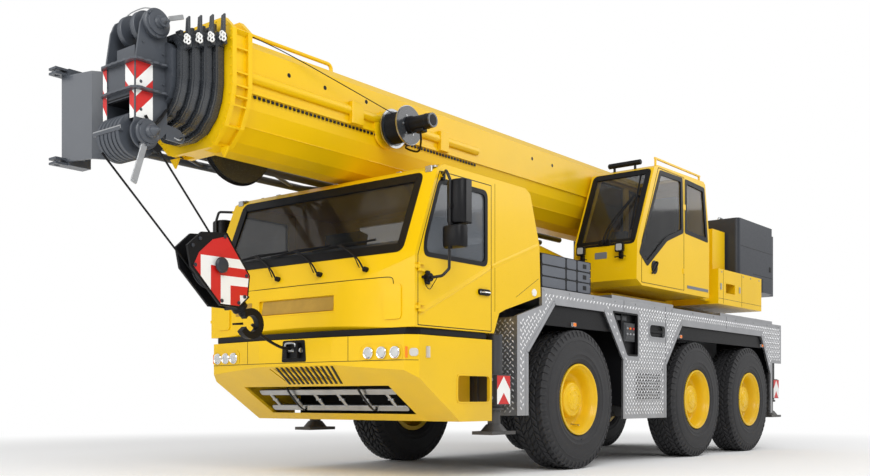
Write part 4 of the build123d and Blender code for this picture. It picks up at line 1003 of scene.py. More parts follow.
def cab_front():
    """Windscreen border, seams, bulges, blank panels and clips of the cab's front."""
    glass = rectangle(-1.115, 1.115, 1.862, 2.542)
    outer = dense(rounded(glass, 0.075, 6), 0.08)
    border = Shape()
    border.band(outer, inset(outer, 0.075), on_cab, -0.012, 0.0035)
    border.done("windscreen_border", "chassis", "black")
    dash = Shape()
    dash.pads(dense(rectangle(-1.06, 1.06, 1.88, 1.985), 0.08), on_cab, -0.045, -0.036)
    dash.done("dashboard_edge", "chassis", "slate")
    wipers()
    seams = Shape()
    seams.tube([on_cab(y, z, 0.0015) for y, z in
                ((-1.245, 1.655), (-0.9, 1.658), (-0.5, 1.662), (0.0, 1.665), (0.5, 1.665), (0.6, 1.665),
                 (0.7, 1.665), (0.8, 1.665), (0.9, 1.665),
                 (1.0, 1.663), (1.035, 1.65), (1.045, 1.62), (1.045, 1.6))], 0.003, 6, 6)
    seams.done("cab_front_seams", "chassis", "black")
    bulge = Shape()
    for side in (1, -1):
        bulge.side = side
        outline = dense(rounded(rectangle(0.945, 1.125, 1.325, 1.605), 0.035, 4), 0.05)
        bulge.pads(outline, on_cab, -0.002, 0.012)
    bulge.done("cab_front_bulges", "chassis", "yellow")
    gold = Shape()
    gold.plate(rounded([(-0.505, 1.432), (0.385, 1.432), (0.405, 1.548), (-0.48, 1.548)], 0.012), "x",
               2.57, 2.5775, 0.002)
    gold.done("blank_panel", "chassis", "gold")
    rim = Shape()
    outer = dense(oriented(rectangle(-0.528, 0.428, 1.412, 1.568)), 0.06)
    rim.band(outer, inset(outer, 0.012), on_cab, -0.02, 0.0025)
    rim.done("blank_panel_rim", "chassis", "yellow")
    small = Shape()
    outer = dense(rounded(rectangle(-0.86, -0.62, 1.44, 1.55), 0.012), 0.06)
    small.pads(outer, on_cab, -0.001, 0.002)
    small.done("small_blank_panel", "chassis", "gold")
    clips = Shape()
    for y in (-1.16, 1.16):
        clips.box(2.19, 2.235, y - 0.05, y + 0.05, 2.572, 2.59, 0.005)
        clips.box(2.235, 2.262, y - 0.035, y + 0.035, 2.535, 2.585, 0.005)
    for y in (-0.75, 0.0, 0.75):
        clips.box(2.1, 2.16, y - 0.025, y + 0.025, 2.6, 2.612, 0.004)
    clips.done("roof_clips", "chassis", "steel")
    roof_and_gap()


def wipers():
    """Three wipers parked along the lower edge of the windscreen."""
    arms = Shape()
    blades = Shape()
    for y in (-0.29, 0.23, 0.76):
        z = 1.74
        pivot = Vector(on_cab(y, z, 0.0))
        arms.rod(pivot - Vector((0.01, 0, 0)), pivot + Vector((0.035, 0, 0.004)), 0.022, 20)
        arms.rod(pivot + Vector((0.03, 0, 0)), pivot + Vector((0.042, 0, 0.004)), 0.014, 16)
        tip = Vector(on_cab(y - 0.33, 1.965, 0.045))
        elbow = Vector(on_cab(y - 0.1, 1.845, 0.05))
        arms.tube([pivot + Vector((0.036, 0, 0)), elbow, tip], 0.008, 8, 6)
        second = Vector(on_cab(y - 0.06, 1.76, 0.03))
        arms.tube([second, Vector(on_cab(y - 0.16, 1.87, 0.046)), tip + Vector((0, -0.03, -0.004))], 0.005, 8,
                  6)
        ends = [Vector(on_cab(y - 0.33 + s, 1.972 + 0.045 * s, 0.012)) for s in (-0.36, -0.2, 0.0, 0.2, 0.36)]
        blades.tube(ends, 0.01, 6, 3)
        spine = [Vector(on_cab(y - 0.33 + s, 1.972 + 0.045 * s, 0.014 + h)) for s, h in
                 ((-0.3, 0.0), (-0.15, 0.012), (0.0, 0.024), (0.15, 0.012), (0.3, 0.0))]
        arms.tube(spine, 0.006, 6, 3)
    arms.done("wiper_arms", "chassis", "black")
    blades.done("wiper_blades", "chassis", "black")


def roof_and_gap():
    """Black plate in the gap between cab and bumper, a painted shade in that gap; roof ribs and rails."""
    # black plate set back between cab and bumper: painted shade in the gap
    gap_shade = Shape()
    gap_shade.plate([(x - 0.035, y * 0.985) for x, y in
                ((2.48, -1.25), (2.575, -1.17), (2.655, -0.45), (2.655, 0.45), (2.575, 1.17),
                 (2.48, 1.25), (1.6, 1.25), (1.6, -1.25))], "z", 1.204, 1.258, 0.004)
    gap_shade.done("cab_gap_shade", "chassis", "black")
    roof = Shape()
    for y in (-0.42, 0.42):
        roof.box(1.02, 2.1, y - 0.012, y + 0.012, 2.6, 2.606, 0.002)
    roof.box(1.35, 1.9, -0.3, 0.3, 2.6, 2.622, 0.01)
    roof.done("cab_roof_ribs", "chassis", "yellow")
    rail = Shape()
    for y in (-1.09, 1.09):
        rail.tube([(1.02, y, 2.598), (1.02, y, 2.632), (1.2, y, 2.636), (1.9, y, 2.636), (2.05, y, 2.632),
                   (2.05, y, 2.598)], 0.009, 8, 4)
    rail.done("cab_roof_rails", "chassis", "black")


DOOR = [(1.51, 1.275), (2.5, 1.275), (2.5, 1.83), (2.225, 2.535), (1.51, 2.535)]
DOOR_GLASS = [(1.59, 1.85), (2.405, 1.85), (2.4, 1.96), (2.215, 2.455), (1.59, 2.455)]


def pressed_fold(shape, rise, reach, spots):
    """Raised fold pressed into the cab's side, through places along and up."""
    shape.skin([[(x, BODY_Y - 0.002, z - 0.02), (x, BODY_Y + rise, z), (x, BODY_Y + 0.0005, z + reach),
                 (x, BODY_Y - 0.002, z + reach + 0.005)] for x, z in spots])


def cab_doors():
    """Window rubber, handle, crease, mirrors and seams of both doors."""
    for side_name, side in SIDES:
        body = "door_" + side_name
        rubber = Shape(side)
        outer = rounded(inset(oriented(DOOR_GLASS), -0.026), 0.07, 5)
        inner = rounded(inset(oriented(DOOR_GLASS), 0.012), 0.05, 5)
        rubber.band(outer, inner, on_side, -0.018, 0.003)
        edge = rounded(inset(oriented(DOOR), -0.0035), 0.01, 2)
        rubber.band(edge, inset(edge, 0.007), on_side, -0.006, 0.0006)
        rubber.done("door_rubber_" + side_name, body, "black")
        crease = Shape(side)
        pressed_fold(crease, 0.006, 0.035,
                     ((2.488, 1.36), (2.3, 1.446), (2.0, 1.588), (1.75, 1.706), (1.522, 1.815)))
        crease.done("door_crease_" + side_name, body, "yellow")
        handle = Shape(side)
        handle.plate(rounded(rectangle(1.545, 1.705, 1.575, 1.628), 0.024), "y", BODY_Y + 0.0005,
                     BODY_Y + 0.0225, 0.004)
        handle.done("door_handle_seat_" + side_name, body, "black")
        grip = Shape(side)
        grip.tube([(1.565, BODY_Y + 0.022, 1.6), (1.575, BODY_Y + 0.034, 1.6), (1.66, BODY_Y + 0.034, 1.6),
                   (1.675, BODY_Y + 0.022, 1.6)], 0.006, 8, 4)
        grip.lathe([(0.0001, 0.002), (0.009, 0.002), (0.01, 0.0)], (1.692, BODY_Y + 0.0225, 1.6), "y", 16)
        grip.done("door_handle_" + side_name, body, "chrome")
        mirrors(side, side_name)
        fixed = Shape(side)
        fixed.tube([(1.455, BODY_Y, 2.56), (1.455, BODY_Y, 2.0), (1.455, BODY_Y, 1.45)], 0.002, 6, 0)
        fixed.tube([(1.13, BODY_Y, 1.6), (0.945, BODY_Y, 1.7), (0.76, BODY_Y, 1.8)], 0.0018, 6, 0)
        fixed.done("cab_side_seams_" + side_name, "chassis", "black")
        fold = Shape(side)
        pressed_fold(fold, 0.005, 0.03, ((1.5, 1.825), (1.15, 1.955), (0.775, 2.095)))
        fold.done("cab_side_fold_" + side_name, "chassis", "yellow")
        cap = Shape(side)
        cap.lathe([(0.034, 0.0), (0.034, 0.01), (0.029, 0.015), (0.0001, 0.016)],
                  (0.84, BODY_Y - 0.001, 1.665), "y", 28)
        cap.done("filler_cap_" + side_name, "chassis", "white")


def mirror_shell(shape, x0, x1, y0, y1, z0, z1):
    """Rounded mirror housing, its back bulging forwards."""
    rings = []
    for z, share in ((z0, 0.8), (z0 + 0.006, 0.93), (z0 + 0.022, 1.0), (z1 - 0.022, 1.0), (z1 - 0.006, 0.93),
                     (z1, 0.8)):
        middle, half = (y0 + y1) / 2, (y1 - y0) / 2 * (0.5 + share / 2)
        depth = (x1 - x0) * share
        ring = [(x0, middle - half, z), (x0, middle + half, z)]
        for k in range(13):
            turn = math.pi * k / 12
            ring.append((x0 + depth * (0.35 + 0.65 * math.sin(turn) ** 0.6), middle + half * math.cos(turn),
                         z))
        rings.append(ring)
    shape.skin(rings)


def mirrors(side, side_name):
    """Mirror housings and glasses, the arm's foot and its cable loop."""
    body = "door_" + side_name
    shell = Shape(side)
    mirror_shell(shell, 2.196, 2.32, 1.366, 1.552, 2.078, 2.432)
    mirror_shell(shell, 2.246, 2.355, 1.352, 1.548, 1.888, 2.064)
    shell.rod((2.33, 1.44, 2.06), (2.33, 1.44, 2.085), 0.016, 14)
    shell.rod((2.33, 1.44, 1.875), (2.33, 1.44, 1.9), 0.018, 14)
    shell.rod((2.396, BODY_Y - 0.004, 1.655), (2.396, BODY_Y + 0.05, 1.655), 0.034, 20)
    shell.box(2.372, 2.42, BODY_Y, BODY_Y + 0.03, 1.6, 1.71, 0.01)
    shell.rod((2.445, BODY_Y - 0.004, 1.655), (2.445, BODY_Y + 0.018, 1.655), 0.012, 12)
    shell.box(2.17, 2.215, BODY_Y - 0.004, BODY_Y + 0.024, 2.465, 2.535, 0.008)
    shell.tube([(2.44, BODY_Y + 0.01, 1.65), (2.435, BODY_Y + 0.03, 1.585), (2.396, BODY_Y + 0.035, 1.562),
                (2.35, BODY_Y + 0.03, 1.6), (2.345, BODY_Y + 0.08, 1.668)], 0.0035, 6, 6)
    shell.done("mirror_shells_" + side_name, body, "black")
    glass = Shape(side)
    glass.plate(rounded(rectangle(1.38, 1.538, 2.098, 2.412), 0.03), "x", 2.1925, 2.1965, 0.0008)
    glass.plate(rounded(rectangle(1.366, 1.534, 1.908, 2.044), 0.03), "x", 2.2425, 2.2465, 0.0008)
    glass.done("mirror_glass_" + side_name, body, "chrome")


# ---------------------------------------------------------------- operator's cab
OP_FRONT = ((1.925, -1.3), (1.985, -1.17), (2.41, -1.19), (3.26, -1.59), (3.3, -1.68))
OP_WINDOWS = ([(-1.74, 3.23), (-2.29, 3.24), (-2.31, 2.64), (-1.9, 2.5), (-1.42, 2.17), (-1.26, 2.28)],
              [(-2.4, 3.24), (-2.9, 3.225), (-3.0, 2.62), (-2.4, 2.65)])


def op_x(z):
    """Front of the operator's cab at a height."""
    return along(OP_FRONT, z, OP_FRONT[-1][1])


def on_op(y, z, h):
    return (op_x(z) + h, y, z + h * 0.45)


def operator_cab_trim():
    """Window borders, wiper, lamps, handle, plates and seat cushion of the operator's cab."""
    border = Shape()
    outer = dense(rounded(rectangle(0.495, 1.225, 2.372, 3.252), 0.06), 0.1)
    border.band(outer, inset(outer, 0.062), on_op, -0.012, 0.004)
    for outline in OP_WINDOWS:
        edge = rounded(inset(oriented(outline), -0.024), 0.03, 4)
        hole = rounded(inset(oriented(outline), 0.028), 0.02, 4)
        for y, side in ((BODY_Y, 1), (0.47, -1)):
            border.band(edge, hole, lambda a, b, h: (a, y + side * h, b), -0.014, 0.003)
    border.done("operator_window_border", "operator_cab", "black")
    wiper = Shape()
    pivot = Vector(on_op(0.84, 2.4, 0.0))
    wiper.rod(pivot, pivot + Vector((0.04, 0, 0.01)), 0.02, 16)
    for shift in (0.0, 0.035):
        wiper.tube([pivot + Vector((0.035, shift, 0.01)), Vector(on_op(0.9 + shift, 2.6, 0.045)),
                    Vector(on_op(1.085 + shift / 2, 2.93, 0.02))], 0.008, 8)
    wiper.box(pivot.x - 0.01, pivot.x + 0.02, 0.78, 0.93, 2.375, 2.44, 0.008)
    wiper.tube([Vector(on_op(1.13 - 0.05 * s, 2.86 + s, 0.012)) for s in (-0.33, -0.15, 0.15, 0.33)], 0.01, 6,
               3)
    wiper.done("operator_wiper", "operator_cab", "black")
    seams = Shape()
    seams.tube([(-1.29, 1.2505, 1.96), (-2.35, 1.2505, 1.96), (-2.35, 1.2505, 3.27), (-1.69, 1.2505, 3.27),
                (-1.29, 1.2505, 2.4), (-1.29, 1.2505, 1.96)], 0.003, 6, 0)
    seams.done("operator_cab_seams", "operator_cab", "black")
    bar = Shape()
    bar.rod((-1.66, 0.645, 3.362), (-1.66, 1.055, 3.362), 0.03, 20, 0.008)
    for y in (0.72, 0.98):
        bar.box(-1.675, -1.645, y - 0.01, y + 0.01, 3.285, 3.345, 0.003)
    bar.box(-2.86, -2.8, 0.6, 1.12, 3.318, 3.35, 0.01)
    bar.done("operator_light_bar", "operator_cab", "black")
    lamps = Shape()
    glass = Shape()
    for y in (0.59, 1.07):
        lamps.skin([[(x, a, b) for a,
                     b in rounded(rectangle(y - half, y + half, 2.335 - half, 2.335 + half), 0.02)]
                    for x, half in ((-1.175, 0.03), (-1.15, 0.048), (-1.112, 0.052), (-1.108, 0.048))])
        lamps.box(-1.185, -1.14, y - 0.02, y + 0.02, 2.215, 2.29, 0.004)
        lamps.tube([(-1.15, y - 0.06, 2.235), (-1.13, y - 0.055, 2.235), (-1.13, y + 0.055, 2.235),
                    (-1.15, y + 0.06, 2.235)], 0.006, 8, 4)
        glass.plate(rounded(rectangle(y - 0.036, y + 0.036, 2.299, 2.371), 0.016), "x", -1.11, -1.104, 0.002)
    lamps.done("operator_work_lamps", "operator_cab", "black")
    glass.done("operator_work_lenses", "operator_cab", "lamp")
    vent = Shape()
    vent.pads(dense(rounded(rectangle(0.735, 0.885, 2.235, 2.305), 0.01), 0.05), on_op, -0.001, 0.004)
    vent.done("operator_plate", "operator_cab", "slate")
    handle = Shape()
    handle.lathe([(0.0001, 0.0), (0.075, 0.0), (0.075, 0.004), (0.066, 0.006), (0.0001, 0.004)],
                 (-1.593, BODY_Y, 2.15), "y", 32)
    handle.tube([(-1.52, BODY_Y + 0.006, 2.075), (-1.545, BODY_Y + 0.028, 2.105),
                 (-1.62, BODY_Y + 0.028, 2.19),
                 (-1.64, BODY_Y + 0.006, 2.215)], 0.01, 8, 4)
    handle.done("operator_door_handle", "operator_cab", "black")
    strip = Shape()
    strip.box(-3.03, -2.44, BODY_Y - 0.002, BODY_Y + 0.004, 1.99, 2.025, 0.001)
    strip.done("operator_strip", "operator_cab", "slate")
    seat = Shape()
    seat.pads(dense(rounded(rectangle(-2.47, -2.05, 0.66, 1.06), 0.06), 0.06), lambda a, b,
              h: (a, b, 2.48 + h), 0.0, 0.03)
    piece = seat.done("operator_seat_cushion", "operator_cab", "interior")


# ---------------------------------------------------------------- superstructure
def superstructure():
    """Box pockets, pipes and tower details."""
    for side_name, side in SIDES:
        trim = Shape(side)
        edge = rounded(rectangle(-3.892, -3.558, 2.008, 2.172), 0.02)
        trim.band(edge, rounded(rectangle(-3.872, -3.578, 2.028, 2.152), 0.015),
                  on_side, -0.02, 0.003)
        trim.done("wing_pocket_rim_" + side_name, "superstructure", "yellow")
        seams = Shape(side)
        for x in (-4.1, -3.5):
            seams.tube([(x, BODY_Y, 1.89), (x, BODY_Y, 2.31)], 0.0024, 6, 0)
        seams.tube([(-4.78, BODY_Y, 1.95), (-3.36, BODY_Y, 1.95)], 0.0024, 6, 0)
        seams.done("wing_seams_" + side_name, "superstructure", "black")
        latch = Shape(side)
        for x, z in ((-4.02, 2.1), (-3.42, 2.1)):
            latch.plate(rounded(rectangle(x - 0.02, x + 0.02, z - 0.04, z + 0.04), 0.01), "y", BODY_Y,
                        BODY_Y + 0.01, 0.003)
        for x in (-4.7, -4.4, -4.15, -3.45):
            latch.bolt((x, BODY_Y, 2.285), "y", 0.009, 0.007)
        latch.done("wing_latches_" + side_name, "superstructure", "steel")
        tower = Shape(side)
        for x, z in ((-4.85, 2.1), (-4.85, 2.4), (-4.4, 2.1), (-4.05, 2.1), (-3.75, 2.05)):
            tower.bolt((x, 0.4905, z), "y", 0.016, 0.012)
        tower.lathe([(0.105, 0.0), (0.105, 0.008), (0.07, 0.01), (0.066, 0.024), (0.0001, 0.026)],
                    (-4.6, 0.519, 2.95), "y", 40)
        for a, b in circle(8, 0.088):
            tower.bolt((-4.6 + a, 0.527, 2.95 + b), "y", 0.009, 0.007)
        tower.done("tower_pins_" + side_name, "superstructure", "steel")
        weight_details(side, side_name)
    hoses = Shape()
    for shift in (0.0, 0.035, 0.07):
        hoses.tube([(-4.85, -0.3 + shift, 1.98), (-4.2, -0.28 + shift, 2.05), (-3.5, -0.3 + shift, 2.0),
                    (-3.1, -0.25 + shift, 1.95)], 0.012, 8)
    hoses.done("platform_hoses", "superstructure", "black")
    ring_bolts = Shape()
    for a, b in circle(40, 0.6):
        ring_bolts.bolt((SLEW_X + a, b, 1.84), "z", 0.013, 0.012)
    ring_bolts.done("slewing_ring_bolts", "superstructure", "steel")
    rope = Shape()
    for k in range(28):
        y = -0.3 + k * 0.0225
        rope.ring((-4.56, y, 2.18), "y", 0.1625, 0.0095, 48, 8)
    rope.done("drum_rope", "superstructure", "steel")


def weight_details(side, side_name):
    """Seams, lifting eyes and rear frames of the counterweight."""
    shape = Shape(side)
    shape.tube([(-5.22, BODY_Y + 0.0005, 2.693), (-4.06, BODY_Y + 0.0005, 2.693)], 0.003, 6, 0)
    shape.tube([(-5.22, BODY_Y + 0.0005, 2.36), (-4.5, BODY_Y + 0.0005, 2.36)], 0.004, 6, 0)
    # small black square: painted shade of a small recess in the counterweight
    shape.box(-5.15, -5.08, BODY_Y - 0.002, BODY_Y + 0.004, 2.44, 2.51, 0.002)
    shape.done("weight_seams_" + side_name, "superstructure", "black")
    grip = Shape(side)
    for x in (-4.95, -4.25):
        grip.tube([(x - 0.07, 0.9, 3.045), (x - 0.06, 0.9, 3.1), (x + 0.06, 0.9, 3.1),
                   (x + 0.07, 0.9, 3.045)],
                  0.014, 10, 5)
    grip.tube([(-5.35, 0.7, 2.975), (-5.34, 0.7, 3.02), (-5.26, 0.7, 3.02), (-5.25, 0.7, 2.975)], 0.012, 10,
              5)
    grip.done("weight_eyes_" + side_name, "superstructure", "steel")
    rear = Shape(side)
    for y in (0.35, 0.8):
        outline = rounded(rectangle(y - 0.08, y + 0.08, 2.45, 2.65), 0.02)
        rear.band(outline, inset(outline, 0.012), lambda a, b, h: (-5.48 - h, a, b), -0.001, 0.005)
    rear.tube([(-5.4805, 0.0, 2.4), (-5.4805, 1.1, 2.4)], 0.003, 6, 0)
    rear.tube([(-5.4805, 0.0, 2.74), (-5.4805, 1.1, 2.74)], 0.003, 6, 0)
    rear.done("weight_rear_" + side_name, "superstructure", "weight_grey")


# ---------------------------------------------------------------- boom
SECTION = ((0.8, 1.0), (1.0, 0.8), (1.0, -0.05), (0.95, -0.35), (0.81, -0.65), (0.55, -0.9), (0.22, -1.0))
MID_Z, HALF_W, HALF_H = 3.045, 0.42, 0.405
COLLAR_X = 3.74


def section_line(scale, grow):
    """The boom's section, all the way round, as y and z."""
    left = [((HALF_W * scale + grow) * a, MID_Z + (HALF_H * scale + grow) * b) for a, b in SECTION]
    return left + [(-a, b) for a, b in reversed(left)]


def boom():
    """Guide bars, holes, chain line, collar ribs, bolts and reels of the base section."""
    bars = Shape()
    for side in (1, -1):
        bars.side = side
        bars.plate(rounded([(0.418, 3.098), (0.418, 3.178), (0.455, 3.165), (0.462, 3.125), (0.44, 3.095)],
                           0.01, 3),
                   "x", 0.6 if side > 0 else -1.2, 3.545, 0.004)
        bars.plate([(0.418, 3.015), (0.418, 3.04), (0.436, 3.04), (0.436, 3.015)], "x", -3.6, 3.545, 0.002)
        bars.box(2.28, 2.42, 0.418, 0.47, 3.02, 3.21, 0.006)
        bars.box(1.1, 1.22, 0.418, 0.47, 3.02, 3.21, 0.006)
    bars.side = 1
    bars.lathe([(0.165, 0.0), (0.16, 0.02), (0.12, 0.032), (0.0001, 0.034)], (1.95, 0.418, 3.06), "y", 48)
    bars.done("boom_guide_bars", "boom", "yellow")
    holes = Shape()
    # black discs on the boom's sides: painted shade inside the holes
    for x in (3.1, 2.7, 2.2, -0.4, -0.8):
        for side in (1, -1):
            holes.side = side
            holes.lathe([(0.018, 0.0), (0.018, 0.0012), (0.0001, 0.0013)], (x, 0.4196, 3.255), "y", 24)
    holes.side = 1
    for k in range(64):
        x = 0.62 + k * 0.0455
        holes.box(x, x + 0.028, 0.419, 0.428, 2.985, 3.008, 0.003)
    holes.done("boom_holes", "boom", "black")
    seams = Shape()
    for side in (1, -1):
        seams.side = side
        seams.tube([(-4.85, 0.4195, 3.02), (3.54, 0.4195, 3.02)], 0.004, 6, 0)
        a, b = section_line(1.0, 0.0005)[4]
        seams.tube([(-4.85, a, b), (3.54, a, b)], 0.004, 6, 0)
    seams.done("boom_welds", "boom", "yellow")
    wire = Shape()
    wire.tube([(1.95, 0.58, 3.15), (2.6, 0.5, 3.3), (3.2, 0.44, 3.42), (3.72, 0.36, 3.5)], 0.004, 6, 8)
    wire.done("boom_wire", "boom", "black")
    collar_ribs()
    section_collars()
    reels()


def collar_ribs():
    """Cross ribs and bolts of the base section's collar."""
    ribs = Shape()
    bolts = Shape()
    line = section_line(1.0, 0.054)
    outer = section_line(1.0, 0.084)
    for i in (1, 2, 3, 4, 5):
        for side in (1, -1):
            ribs.side = side
            a, b = line[i]
            c, d = outer[i]
            if d < 2.6:
                continue
            way = Vector((c - a, d - b)).normalized() * 0.007
            cross = Vector((-way.y, way.x))
            ring = [(a + cross.x, b + cross.y), (c + cross.x, d + cross.y), (c - cross.x, d - cross.y),
                    (a - cross.x, b - cross.y)]
            ribs.plate(ring, "x", COLLAR_X - 0.152, COLLAR_X - 0.038, 0.001)
    for side in (1, -1):
        ribs.side = side
        for z in (3.3, 3.12, 2.94):
            ribs.plate([(0.472, z - 0.006), (0.503, z - 0.006), (0.503, z + 0.006), (0.472, z + 0.006)], "x",
                       COLLAR_X - 0.152, COLLAR_X - 0.038, 0.001)
        bolts.side = side
        points = dense(section_line(1.0, 0.066), 0.075)
        for a, b in points:
            if a > 0.02 and b > 2.61:
                bolts.bolt((COLLAR_X, a, b), "x", 0.0065, 0.006)
        ribs.plate([(0.36, 2.598), (0.25, 2.598), (0.3, 2.52)], "x", COLLAR_X - 0.1, COLLAR_X - 0.08, 0.002)
    ribs.done("collar_ribs", "boom", "yellow")
    bolts.done("collar_bolts", "boom", "yellow")


def section_collars():
    """Bolts, tabs, glossy edges, cable loops and rope rings on each collar."""
    for number in range(1, 5):
        body = "section_%d" % number
        scale = 1.0 - 0.08 * number
        x1 = COLLAR_X + 0.01 + 0.08 * (number - 1) + 0.07
        dark = Shape()
        outline = oriented(section_line(scale, 0.03))
        dark.band(outline, inset(outline, 0.04), lambda a, b, h: (x1 + h, a, b), -0.03, 0.004)
        ridge = oriented(section_line(scale, 0.034))
        dark.band(ridge, inset(ridge, 0.01), lambda a, b, h: (x1 + h, a, b), -0.058, -0.012)
        wide, tall = HALF_W * scale, HALF_H * scale
        for side in (1, -1):
            inner, outer = side * wide * 0.86, side * (wide + 0.092)
            low, high = MID_Z + tall * 0.7, MID_Z + tall * 0.7 + 0.075
            dark.plate([(inner, low - 0.03), (outer, low), (outer, high), (inner, high + 0.045)], "x",
                       x1 - 0.056, x1 - 0.02, 0.006)
            dark.plate([(side * (wide + 0.04), high), (side * (wide + 0.085), high - 0.01),
                        (side * (wide + 0.085), high + 0.148), (side * (wide + 0.052), high + 0.138)], "x",
                       x1 - 0.046, x1 - 0.026, 0.003)
        dark.done("collar_edge_%d" % number, body, "collar_grey")
        bolts = Shape()
        for a, b in dense(section_line(scale, 0.01), 0.11):
            bolts.bolt((x1 + 0.002, a, b), "x", 0.007, 0.006)
        bolts.done("collar_edge_bolts_%d" % number, body, "collar_grey")
        rings = Shape()
        for y, lift in ((0.072, -0.012), (0.078, 0.018), (0.098, 0.002), (0.102, -0.028)):
            rings.ring((x1 - 0.013, wide + y, high - 0.02 + lift), Vector((1, 0.35, 0)), 0.014, 0.0062, 24, 8)
        rings.done("collar_rope_rings_%d" % number, body, "white")
        loops = Shape()
        a = HALF_W * scale + 0.03
        loops.tube([(x1 + 0.003, a * 0.7, MID_Z - 0.16), (x1 + 0.028, a * 0.62, MID_Z - 0.25),
                    (x1 + 0.015, a * 0.45, MID_Z - HALF_H * scale * 0.93)], 0.004, 6, 6)
        loops.done("collar_cable_%d" % number, body, "black")


def reels():
    """Wound cable, flange holes, motor and cable runs of both reels."""
    x, z = 1.95, 3.06
    coil = Shape()
    for k in range(12):
        for r in (0.097, 0.112, 0.127):
            coil.ring((x, 0.527 + k * 0.0132 + (0.006 if r == 0.112 else 0), z), "y", r, 0.0072, 44, 6)
    coil.done("left_reel_cable", "boom", "black")
    flange = Shape()
    for y0, y1 in ((0.508, 0.516), (0.684, 0.692)):
        flange.lathe([(0.15, y0 - 0.002), (0.168, y0 - 0.003), (0.17, y1 + 0.003), (0.15, y1 + 0.002)],
                     (x, 0, z), "y", 56, closed=True)
    for a, b in circle(6, 0.085):
        flange.bolt((x + a, 0.7, z + b), "y", 0.008, 0.006)
    flange.done("left_reel_flanges", "boom", "steel")
    motor = Shape()
    motor.lathe([(0.0001, 0.962), (0.045, 0.962), (0.058, 0.952), (0.0635, 0.945), (0.0635, 0.905),
                 (0.066, 0.902),
                 (0.066, 0.892), (0.0635, 0.889), (0.0635, 0.735), (0.074, 0.732), (0.074, 0.702)],
                (x, 0, z), "y", 36)
    motor.box(x - 0.035, x + 0.035, 0.78, 0.87, z - 0.085, z - 0.055, 0.006)
    motor.tube([(x, 0.82, z - 0.08), (x - 0.03, 0.8, z - 0.15), (x - 0.16, 0.66, z - 0.19),
                (x - 0.22, 0.47, z - 0.12),
                (x - 0.3, 0.43, z - 0.06)], 0.009, 8)
    motor.done("left_reel_motor", "boom", "black")
    x, z = 2.88, 2.925
    disc = Shape()
    for r, h in ((0.36, 0.507), (0.3, 0.5065), (0.12, 0.5075)):
        disc.ring((x, -h, z), "y", r, 0.006, 72, 8)
    for a, b in circle(8, 0.21):
        disc.lathe([(0.045, 0.0), (0.045, 0.0035), (0.036, 0.0045), (0.0001, 0.0045)],
                   (x + a, -0.5095, z + b), "y", 24)
    disc.done("right_reel_rim", "boom", "dark_grey")
    cable = Shape()
    for k, r in enumerate((0.372, 0.379, 0.372)):
        cable.ring((x, -0.462 - k * 0.014, z), "y", r, 0.0065, 72, 8)
    cable.tube([(x + 0.37, -0.475, z), (x + 0.42, -0.44, z - 0.16), (3.55, -0.3, 2.62), (3.72, -0.2, 2.61)],
               0.006, 8)
    cable.done("right_reel_cable", "boom", "black")


def cylinder():
    """Gland, ports and pipe of the lifting cylinder."""
    start = Vector((-3.1, 0, 2.05))
    way = Vector((3.1, 0, 0.45)).normalized()
    barrel = Shape()
    turn = Vector((0, 0, 1)).rotation_difference(way)
    barrel.place = Matrix.Translation(start) @ turn.to_matrix().to_4x4()
    barrel.lathe([(0.086, 2.88), (0.118, 2.88), (0.126, 2.872), (0.132, 2.866), (0.132, 2.8), (0.126, 2.795),
                  (0.1255, 2.72), (0.118, 2.72)], (0, 0, 0), "z", 48)
    barrel.lathe([(0.124, 0.236), (0.131, 0.244), (0.131, 0.3), (0.124, 0.306)], (0, 0, 0), "z", 48)
    for a, b in circle(12, 0.104):
        barrel.bolt((a, b, 2.88), "z", 0.009, 0.008)
    barrel.tube([(0.1, 0.08, 0.36), (0.115, 0.09, 0.42), (0.115, 0.09, 2.65), (0.09, 0.08, 2.74)], 0.011, 8,
                4)
    barrel.done("lift_cylinder_gland", "lift_barrel", "dark_grey")


# ---------------------------------------------------------------- head and hook block
HEAD_REAR, HEAD_FRONT = 4.075, 4.34
HEAD_RIGHT, HEAD_LEFT = -0.213, 0.173
LOWER, UPPER = (4.265, 2.595), (4.185, 3.4)
PAINT, BLOCK_FACE, MAT_FACE = 0.0012, 0.0802, 1.2352
HOOK_LEAN = math.radians(41)
BLOCK_SHEAVE_Z = -1.14


def wavy_rib(shape, z):
    """Flat rib round the head with a scalloped edge."""
    edge = [(HEAD_REAR + 0.01, HEAD_LEFT + 0.04)]
    for k in range(9):
        share = k / 8
        x = HEAD_REAR + 0.01 + 0.27 * share
        edge.append((x, HEAD_LEFT + (0.052 if k % 2 else 0.042)))
    for k in range(13):
        share = k / 12
        y = HEAD_LEFT + 0.02 - (HEAD_LEFT - HEAD_RIGHT + 0.03) * share
        edge.append((HEAD_FRONT + (0.053 if k % 2 else 0.046) - 0.02 * abs(share - 0.5) ** 3 * 8, y))
    edge += [(HEAD_FRONT + 0.015, HEAD_RIGHT - 0.026), (HEAD_REAR + 0.01, HEAD_RIGHT - 0.026)]
    shape.plate(edge, "z", z - 0.0085, z + 0.0085, 0.002)


def cone_hub(shape, centre, radius, y, tip):
    """Stepped disc with a cone on the end of a shaft."""
    shape.lathe([(radius, 0.0), (radius, 0.01), (radius - 0.006, 0.014), (radius * 0.82, 0.015),
                 (radius * 0.8, 0.03),
                 (radius * 0.62, 0.034), (0.048, 0.037), (0.047, tip - y - 0.05), (0.042, tip - y - 0.042),
                 (0.01, tip - y + 0.018), (0.0001, tip - y + 0.022)], (centre[0], y, centre[1]), "y", 44)
    for a, b in circle(3, radius * 0.91, 0.3):
        shape.lathe([(0.012, 0.0), (0.012, 0.012), (0.006, 0.014), (0.0001, 0.014)],
                    (centre[0] + a, y + 0.01, centre[1] + b), "y", 12)


